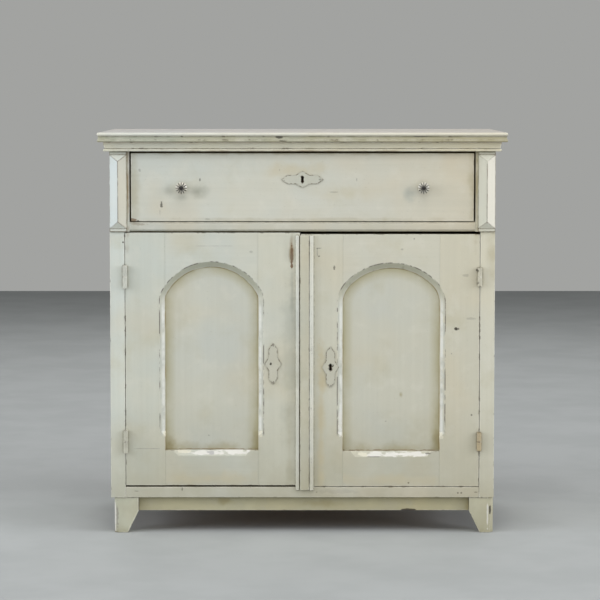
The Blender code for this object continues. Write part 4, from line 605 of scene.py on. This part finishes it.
def make_pine(name, grain):
    """Bare aged pine: to the eye brown and dull, with broad bands, fine fibres, and dirt and painted shade
    in corners.
    """
    material, tree, shader, place = start_material(name)
    bands = lumps(tree, place, size_mm=14, low=0.40, high=0.66, amount=0.8, stretch=grain, detail=2.0)
    colour = lay(tree, EARLY_WOOD, LATE_WOOD, bands)
    fibre = lumps(tree, place, size_mm=1.6, low=0.35, high=0.70, amount=0.4, stretch=grain, detail=2.0)
    colour = lay(tree, colour, FIBRE, fibre)
    colour = lay(tree, colour, DULLED, lumps(tree, place, size_mm=150, low=0.45, high=0.75, amount=0.6))
    # Dirt and painted shade where the wood is closed in.
    closed = add(tree, "AmbientOcclusion", {"Distance": DIRT_AND_SHADE_REACH}, samples=6).outputs["AO"]
    ramp = {0: closed, 1: PINE_OPEN[0], 2: PINE_OPEN[1], 3: 0.0, 4: 0.6}
    colour = lay(tree, colour, PINE_DIRT_AND_SHADE, add(tree, "MapRange", ramp).outputs[0])
    tree.links.new(colour, shader.inputs["Base Color"])
    shader.inputs["Roughness"].default_value = PINE_ROUGHNESS
    bump = add(tree, "Bump", {"Height": fibre, "Strength": 0.3, "Distance": 0.0006})
    tree.links.new(bump.outputs[0], shader.inputs["Normal"])
    return material


PINE = {"upright": make_pine("bare pine grain upright", UPRIGHT),
        "level": make_pine("bare pine grain level", LEVEL),
        "depth": make_pine("bare pine grain front to back", DEPTH)}
print("pine grains:", ", ".join(PINE))

# %% [markdown]
# ## Iron
#
# The locks and bolts are forged and filed iron, dark with oxide and a little rust. Clean metal would
# shine like a mirror, so this is only partly metallic, rough and blotched, with rust slightly raised.

# %% Iron
OXIDE, RUST_BROWN, METAL_SHARE = "#3A3632", "#5E4330", 0.7


def make_iron():
    """Oxidised iron: to the eye dark and dull with a little metal shine, browner where it rusts."""
    material, tree, shader, place = start_material("oxidised iron")
    rust = lumps(tree, place, size_mm=8, low=0.45, high=0.65, amount=0.8, detail=5.0)
    tree.links.new(lay(tree, OXIDE, RUST_BROWN, rust), shader.inputs["Base Color"])
    shader.inputs["Metallic"].default_value = METAL_SHARE
    filed = lumps(tree, place, size_mm=4, low=0.3, high=0.7, amount=0.7, least=0.45)
    tree.links.new(filed, shader.inputs["Roughness"])
    bump = add(tree, "Bump", {"Height": rust, "Strength": 0.3, "Distance": 0.0004})
    tree.links.new(bump.outputs[0], shader.inputs["Normal"])
    return material


IRON = make_iron()
print("iron:", IRON.name)

# %% [markdown]
# ## Knobs
#
# The two turned knobs are ivory-coloured and polished, with a dark eye and dark rays in the face. The
# rays could be cut into the mesh, but they lie level with the face, so the material draws them from the
# angle and the distance round the knob's axis. Each ray is wide beside the eye and ends in a point.

# %% Knob material
IVORY_PALE, IVORY_YELLOW, INLAY, EYE = "#DAD6C8", "#CCC5AE", "#1C1712", "#1B1611"
RAY_COUNT = 12
RAY_OUTER, EYE_RADIUS = 0.0146, 0.0052
# Where along the cosine wave round the knob a ray begins, at its root and at its tip.
ROOT_WAVE, TIP_WAVE, WAVE_BLUR = -0.9, 0.5, 0.25
TIP_BLUR, EYE_BLUR = 0.0008, 0.0004
POLISH, LACQUER = 0.24, 0.25


def make_ivory(name, middle):
    """Polished ivory-coloured knob: to the eye smooth, yellowed and shiny, with a dark star in its face."""
    material, tree, shader, place = start_material(name)
    yellowed = lumps(tree, place, size_mm=9, low=0.40, high=0.65, amount=0.7)
    colour = lay(tree, IVORY_PALE, IVORY_YELLOW, yellowed)
    offset = add(tree, "VectorMath", {0: place, 1: middle}, operation="SUBTRACT").outputs[0]
    axes = add(tree, "SeparateXYZ", {0: offset}).outputs
    flat = add(tree, "CombineXYZ", {0: axes[0], 1: axes[2]}).outputs[0]
    radius = add(tree, "VectorMath", {0: flat}, operation="LENGTH").outputs["Value"]
    angle = add(tree, "Math", {0: axes[2], 1: axes[0]}, operation="ARCTAN2").outputs[0]
    turns = add(tree, "Math", {0: angle, 1: RAY_COUNT}, operation="MULTIPLY").outputs[0]
    wave = add(tree, "Math", {0: turns}, operation="COSINE").outputs[0]
    taper = {0: radius, 1: EYE_RADIUS, 2: RAY_OUTER, 3: ROOT_WAVE, 4: TIP_WAVE}
    least = add(tree, "MapRange", taper).outputs[0]
    spare = add(tree, "Math", {0: wave, 1: least}, operation="SUBTRACT").outputs[0]
    ray = add(tree, "MapRange", {0: spare, 1: -WAVE_BLUR, 2: WAVE_BLUR}).outputs[0]
    tip = {0: radius, 1: RAY_OUTER + TIP_BLUR, 2: RAY_OUTER - TIP_BLUR}
    colour = lay(tree, colour, INLAY, ray, add(tree, "MapRange", tip).outputs[0])
    rim = {0: radius, 1: EYE_RADIUS + EYE_BLUR, 2: EYE_RADIUS - EYE_BLUR}
    colour = lay(tree, colour, EYE, add(tree, "MapRange", rim).outputs[0])
    tree.links.new(colour, shader.inputs["Base Color"])
    shader.inputs["Roughness"].default_value = POLISH
    shader.inputs["Coat Weight"].default_value = LACQUER
    return material


IVORY = [make_ivory(f"polished ivory {side}", tuple(middle))
         for side, middle in zip(("left", "right"), KNOBS)]
print("rays on each knob:", RAY_COUNT)

# %% [markdown]
# ## Soft edges
#
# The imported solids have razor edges, and hand-planed pine under paint does not. A Bevel modifier could
# round them, but it would round the flush joints too. So each piece is copied, its loose triangles are
# joined back into whole faces, and bmesh rounds only its long outer edges, by about a millimetre.

# %% Round a piece
LONG_EDGE, SHARP, FLAT = 0.008, math.radians(20), math.radians(0.5)
SAME_PLACE, JOINT_GAP = 1e-5, 0.001


def whole_copy(node):
    """A copy of a node's mesh with its loose triangles joined back into whole faces."""
    body = bmesh.new()
    body.from_mesh(nodes[node].data)
    bmesh.ops.remove_doubles(body, verts=body.verts, dist=SAME_PLACE)
    bmesh.ops.dissolve_limit(body, angle_limit=FLAT, verts=body.verts, edges=body.edges)
    return body


def lies_along(edge, x):
    """Whether both ends of an edge lie on the upright plane of a joint."""
    return sum(abs(vert.co.x - x) for vert in edge.verts) < 2 * JOINT_GAP


def soft_copy(node, width, joints=()):
    """A whole copy of a node with its long outer edges rounded, except along the joints."""
    body = whole_copy(node)
    edges = [e for e in body.edges if e.is_manifold and e.calc_length() > LONG_EDGE
             and e.calc_face_angle_signed(0.0) > SHARP
             and not any(lies_along(e, x) for x in joints)]
    bmesh.ops.bevel(body, geom=edges, offset=width, offset_type="OFFSET", segments=2, profile=0.5,
                    affect="EDGES", clamp_overlap=True, material=-1)
    return body


print("edges under", LONG_EDGE * 1000, "mm stay as they are")


# %% [markdown]
# ## Putting a piece in place
#
# A finished piece rides on the body of the node that it stands in for, so a door's pieces swing with the
# door. Paint that has built up on an edge is part of the piece: the vertices of that side move out by its
# thickness.

# %% Dress a piece
def finish_piece(body, node, materials):
    """Turn a bmesh into the piece that stands in for a node."""
    mesh = bpy.data.meshes.new(f"{node}_worn")
    body.to_mesh(mesh)
    body.free()
    for material in materials:
        mesh.materials.append(material)
    piece = bpy.data.objects.new(f"{node}_worn", mesh)
    bpy.context.scene.collection.objects.link(piece)
    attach(piece, body_of_node[node])
    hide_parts(node)


def dress(node, materials, pick, width=0.0010, joints=(), built_up=()):
    """Replace a node by its softened copy, built up on some sides, in the material pick names per face."""
    body = soft_copy(node, width, joints)
    for axis, side, depth in built_up:
        edge = max(side * v.co[axis] for v in body.verts)
        for vert in body.verts:
            if side * vert.co[axis] > edge - width - JOINT_GAP:
                vert.co[axis] += side * depth
    for face in body.faces:
        face.material_index = pick(face.normal, face.calc_center_median())
    finish_piece(body, node, materials)


print("bodies to ride on:", len(set(body_of_node.values())))

# %% [markdown]
# ## Which faces the brush reached
#
# Only what shows was painted: inside the carcass and the drawer the boards stay bare. The faces could be
# chosen by hand, but their direction says it already, so each rule looks at a face's normal and middle
# and gives the number of its material.

# %% Paint by face
# Limits on a normal: turned back, turned forward, turned outward, square to an axis.
BACKWARD, FORWARD, OUTWARD, FLAT_ON = 0.5, -0.3, 0.3, 0.9
# The nosing's height, the least slope of a block's facet and the x where the strip's bead begins.
NOSING, BLOCK_SLOPE, STRIP_BEAD = 0.0095, 0.1, 0.0165


def all_painted(normal, middle):
    """The first material on every face."""
    return 0


def back_bare(normal, middle):
    """Paint on the faces seen from outside in front, bare wood behind."""
    return 1 if normal.y > BACKWARD else 0


def front_only(normal, middle):
    """Paint on the front alone."""
    return 0 if normal.y < FORWARD else 1


def outer_only(normal, middle):
    """Paint on the face that looks away from the middle of the cabinet."""
    return 0 if normal.x * middle.x > OUTWARD * abs(middle.x) else 1


def block_faces(normal, middle):
    """Paint with a painted highlight on the outer slope of a corner block, warm paint on the left one's
    inner slope.
    """
    outward = normal.x * math.copysign(1, middle.x)
    if outward > BLOCK_SLOPE:
        return 1
    return 2 if outward < -BLOCK_SLOPE and middle.x < 0 else 0


def strip_faces(normal, middle):
    """Dull paint on the flat of the meeting strip, pale paint with a painted highlight on its bead."""
    return 1 if middle.x > STRIP_BEAD else 0


def top_faces(normal, middle):
    """Worn paint above, cream on the nosing, olive with painted shade in the hollow below it, bare wood
    underneath.
    """
    if middle.z > TOP - NOSING:
        return 0 if normal.z > FLAT_ON else 3
    return 2 if normal.z < -FLAT_ON and middle.z < TOP - 2 * NOSING else 1


print("nosing", NOSING * 1000, "mm high")

# %% [markdown]
# ## Carcass
#
# The carcass is the box that all else hangs on: rails, stiles, sides, top, mouldings and feet. Rails that
# are touched most are rounded most, the crisp mouldings least. Each board's pattern runs along its own
# grain.

# %% Dress the carcass
for name, kind in (("top_front_rail", "level"), ("drawer_rail", "rail"), ("bottom_rail", "level")):
    dress(name, (PAINT[kind], PINE["level"]), back_bare, width=0.0015)
for name in ("cornice_front", "cornice_left", "cornice_right"):
    dress(name, (PAINT["moulding"],), all_painted, width=0.0005)
dress("top_board", (PAINT["top"], PAINT["hollow"], PINE["level"], PAINT["nosing"]), top_faces,
      width=0.0008)
dress("front_apron", (PAINT["apron"], PINE["level"]), back_bare)
for side in ("left", "right"):
    dress(f"{side}_front_stile", (PAINT["upright"], PINE["upright"]), back_bare, width=0.0005)
    dress(f"{side}_corner_block", (PAINT["block"], PAINT["block_bright"], PAINT["block_warm"]), block_faces,
          width=0.0006)
    dress(f"{side}_side", (PAINT["upright"], PINE["upright"]), outer_only)
    dress(f"foot_front_{side}", (PAINT["foot"],), all_painted, width=0.0012)
    dress(f"foot_back_{side}", (PAINT["foot"],), all_painted, width=0.0012)
    dress(f"back_board_{side}", (PINE["upright"],), all_painted)
    dress(f"{side}_drawer_runner", (PINE["depth"],), all_painted)
for name in ("bottom_board", "shelf"):
    dress(name, (PINE["level"],), all_painted)

# %% [markdown]
# ## Drawer
#
# Only the front of the drawer was painted. Its sides, back and bottom are thin bare boards, with grain
# along their length.

# %% Dress the drawer
dress("drawer_front", (PAINT["level"], PINE["level"]), front_only, width=0.0012)
for name, grain in (("left_side", "depth"), ("right_side", "depth"), ("back", "level"), ("bottom", "level")):
    dress(f"drawer_{name}", (PINE[grain],), all_painted, width=0.0006)

# %% [markdown]
# ## Doors
#
# The doors need real play to swing, yet the gaps round them look narrow, because coats of paint have
# built up on their edges. The solids keep the play, and here the hinge edges, the left door's head and
# the edge of the meeting strip grow by a millimetre or two, still clear of their neighbours.

# %% Dress the doors
EDGE_PAINT, HEAD_PAINT, STRIP_PAINT = 0.0011, 0.0010, 0.0018
ACROSS, UP = 0, 2
for side in ("left", "right"):
    outward = -1 if side == "left" else 1
    head = ((UP, 1, HEAD_PAINT),) if side == "left" else ()
    for name, kind, layers in (("hinge_stile", "door_upright", head + ((ACROSS, outward, EDGE_PAINT),)),
                               ("meeting_stile", "door_upright", head), ("top_rail", "door_level", head),
                               ("bottom_rail", "door_level", ())):
        dress(f"{side}_door_{name}", (PAINT[kind],), all_painted, width=0.0005,
              joints=DOOR_JOINTS, built_up=layers)
    dress(f"{side}_door_panel", (PAINT["panel"],), all_painted, width=0.0004)
dress("left_door_bead", (PAINT["bead"],), all_painted, width=0.0004)
dress("right_door_astragal", (PAINT["strip"], PAINT["bead"]), strip_faces, width=0.0004,
      built_up=((ACROSS, -1, STRIP_PAINT),))
print("paint on the hinge edges:", EDGE_PAINT * 1000, "mm")

# %% [markdown]
# ## Escutcheons
#
# The keyhole plates are thin iron, painted over with the cabinet. Rust has broken the paint along their
# rims, which gives each plate its drawn outline. A dark line in the paint would have to follow every
# curve of the plate, so the front face is inset instead, and the narrow border gets its own material.

# %% Escutcheons
PLATE_PAINT, PLATE_RUST, PLATE_ROUGHNESS = "#BDBBAC", "#6A6050", 0.6
BORDER = 0.0016


def make_rust():
    """Paint broken by rust: to the eye a rough line, dark in spots and sage between."""
    material, tree, shader, place = start_material("paint broken by rust")
    spots = lumps(tree, place, size_mm=7, low=0.48, high=0.58, amount=0.85, detail=3.0)
    tree.links.new(lay(tree, PLATE_PAINT, PLATE_RUST, spots), shader.inputs["Base Color"])
    shader.inputs["Roughness"].default_value = PLATE_ROUGHNESS
    return material


RUST = make_rust()
for name in ("drawer_escutcheon", "left_door_escutcheon", "right_door_escutcheon"):
    plate = whole_copy(name)
    face = [f for f in plate.faces if f.normal.y < -FLAT_ON]
    border = bmesh.ops.inset_region(plate, faces=face, thickness=BORDER, use_even_offset=True,
                                    use_boundary=True)
    for part in border["faces"]:
        part.material_index = 1
    finish_piece(plate, name, (PAINT["iron"], RUST))
print("escutcheon borders", BORDER * 1000, "mm wide")

# %% [markdown]
# ## Hinges, locks, bolts and knobs
#
# The hinges were painted over with the cabinet, the locks and bolts were not. Their solids, and the
# turned knobs, already have the right shapes, so they keep them and only get a material.


# %% Hinges, locks, bolts and knobs
def coat(node, material):
    """Give a solid that keeps its own shape its material."""
    nodes[node].data.materials.clear()
    nodes[node].data.materials.append(material)


for name in nodes:
    if "hinge_frame" in name or name.endswith(("hinge_upper", "hinge_lower")):
        stained = name.startswith("right") and name.endswith("lower")
        coat(name, PAINT["rusty" if stained else "iron"])
    elif "_lock_" in name or "_bolt" in name:
        coat(name, IRON)
for side, material in zip(("left", "right"), IVORY):
    coat(f"drawer_knob_{side}", material)
print("iron pieces:", sum(IRON.name in thing.data.materials for thing in nodes.values()))

# %% [markdown]
# ## Floor
#
# A plain pale floor takes the shadow, so that the cabinet stands rather than floats. It is a single
# square, and rides on no body of the cabinet.

# %% Floor
FLOOR_SIZE = 14.0
FLOOR_PALE, FLOOR_GREY, FLOOR_ROUGHNESS = "#B1B4B3", "#ABAEAD", 0.8


def make_floor_material():
    """Pale matt floor: to the eye plain, with a very slight mottle."""
    material, tree, shader, place = start_material("pale matt floor")
    mottle = lumps(tree, place, size_mm=300, low=0.35, high=0.65)
    tree.links.new(lay(tree, FLOOR_PALE, FLOOR_GREY, mottle), shader.inputs["Base Color"])
    shader.inputs["Roughness"].default_value = FLOOR_ROUGHNESS
    return material


plane = bmesh.new()
bmesh.ops.create_grid(plane, x_segments=1, y_segments=1, size=FLOOR_SIZE / 2)
floor_mesh = bpy.data.meshes.new("floor")
plane.to_mesh(floor_mesh)
plane.free()
floor_mesh.materials.append(make_floor_material())
floor = bpy.data.objects.new("floor", floor_mesh)
bpy.context.scene.collection.objects.link(floor)
print("floor", FLOOR_SIZE, "m square")

# %% [markdown]
# ## Lights
#
# Daylight from both sides shows the chamfers and mouldings best, so two large soft windows do most of the
# work. Smaller lights from above, behind and in front keep the shadows open. Large lights give soft
# edges, and the two windows stand at the edge of the floor, where they draw no line on it.

# %% Lights
# Name, place in metres, width in metres and power in watts.
LIGHTS = [("left_window", (-6.96, -2.76, 2.76), 4.8, 344),
          ("right_window", (6.96, -2.76, 2.76), 4.8, 356),
          ("sky", (0.0, -1.4, 3.6), 3.0, 55),
          ("back_sky", (0.0, 3.2, 3.8), 4.5, 80),
          ("front_fill", (0.0, -5.5, 2.6), 4.0, 44)]
AIM = Vector((0, 0, 0.6))
DAYLIGHT, WHITE = "#F5F8FF", "#FFFFFF"
for name, place, size, power in LIGHTS:
    light = bpy.data.lights.new(name, "AREA")
    light.size = size
    light.energy = power
    light.color = linear(DAYLIGHT if "window" in name else WHITE)[:3]
    lamp = bpy.data.objects.new(name, light)
    lamp.location = place
    lamp.rotation_euler = (AIM - Vector(place)).to_track_quat("-Z", "Y").to_euler()
    bpy.context.scene.collection.objects.link(lamp)
print("lights:", len(LIGHTS))

# %% [markdown]
# ## Surrounding light
#
# Light that comes from all round fills what the lights leave dark. It is strong in front and weak behind,
# so that the gaps and the space under the cabinet stay dark. The camera sees a plain even grey instead,
# through a Light Path node, so that the pale paint stands out from its background.

# %% Surrounding light
FRONT_SIDE, BACK_SIDE, BACKDROP = 0.38, 0.07, 0.44
FRONT_TURN, BACK_TURN, AIR = -0.5, 0.6, "#EAEBE8"
world = bpy.data.worlds.new("soft studio light")
world.use_nodes = True
around = world.node_tree
soft = around.nodes["Background"]
soft.inputs["Color"].default_value = linear(AIR)
direction = add(around, "TexCoord").outputs["Generated"]
backward = add(around, "SeparateXYZ", {0: direction}).outputs[1]
ramp = {0: backward, 1: FRONT_TURN, 2: BACK_TURN, 3: FRONT_SIDE, 4: BACK_SIDE}
around.links.new(add(around, "MapRange", ramp).outputs[0], soft.inputs["Strength"])
plain = add(around, "Background", {"Color": AIR, "Strength": BACKDROP})
seen = add(around, "LightPath").outputs["Is Camera Ray"]
both = add(around, "MixShader", {0: seen, 1: soft.outputs[0], 2: plain.outputs[0]})
around.links.new(both.outputs[0], around.nodes["World Output"].inputs["Surface"])
bpy.context.scene.world = world
bpy.context.scene.view_settings.view_transform = "Standard"
print("surrounding light from", FRONT_SIDE, "to", BACK_SIDE)

# %% [markdown]
# ## Camera
#
# The cabinet is seen nearly square on, from chest height and slightly down. A camera close by would
# spread the uprights, so it stands six metres off with a long lens, and a little shift sets the cabinet
# at its height in the picture.

# %% Camera
DISTANCE, EYE_X, EYE_Z = 6.0, -0.0062, 1.1322
PITCH, LENS, SENSOR, SHIFT = math.radians(4.145), 142.727, 36.0, -0.0667
view = bpy.data.cameras.new("photo_view")
view.lens = LENS
view.sensor_width = SENSOR
view.shift_y = SHIFT
camera = bpy.data.objects.new("photo_view", view)
camera.location = (EYE_X, FRONT - DISTANCE, EYE_Z)
camera.rotation_euler = (math.pi / 2 - PITCH, 0, 0)
bpy.context.scene.collection.objects.link(camera)
bpy.context.scene.camera = camera
print("camera", DISTANCE, "m in front")
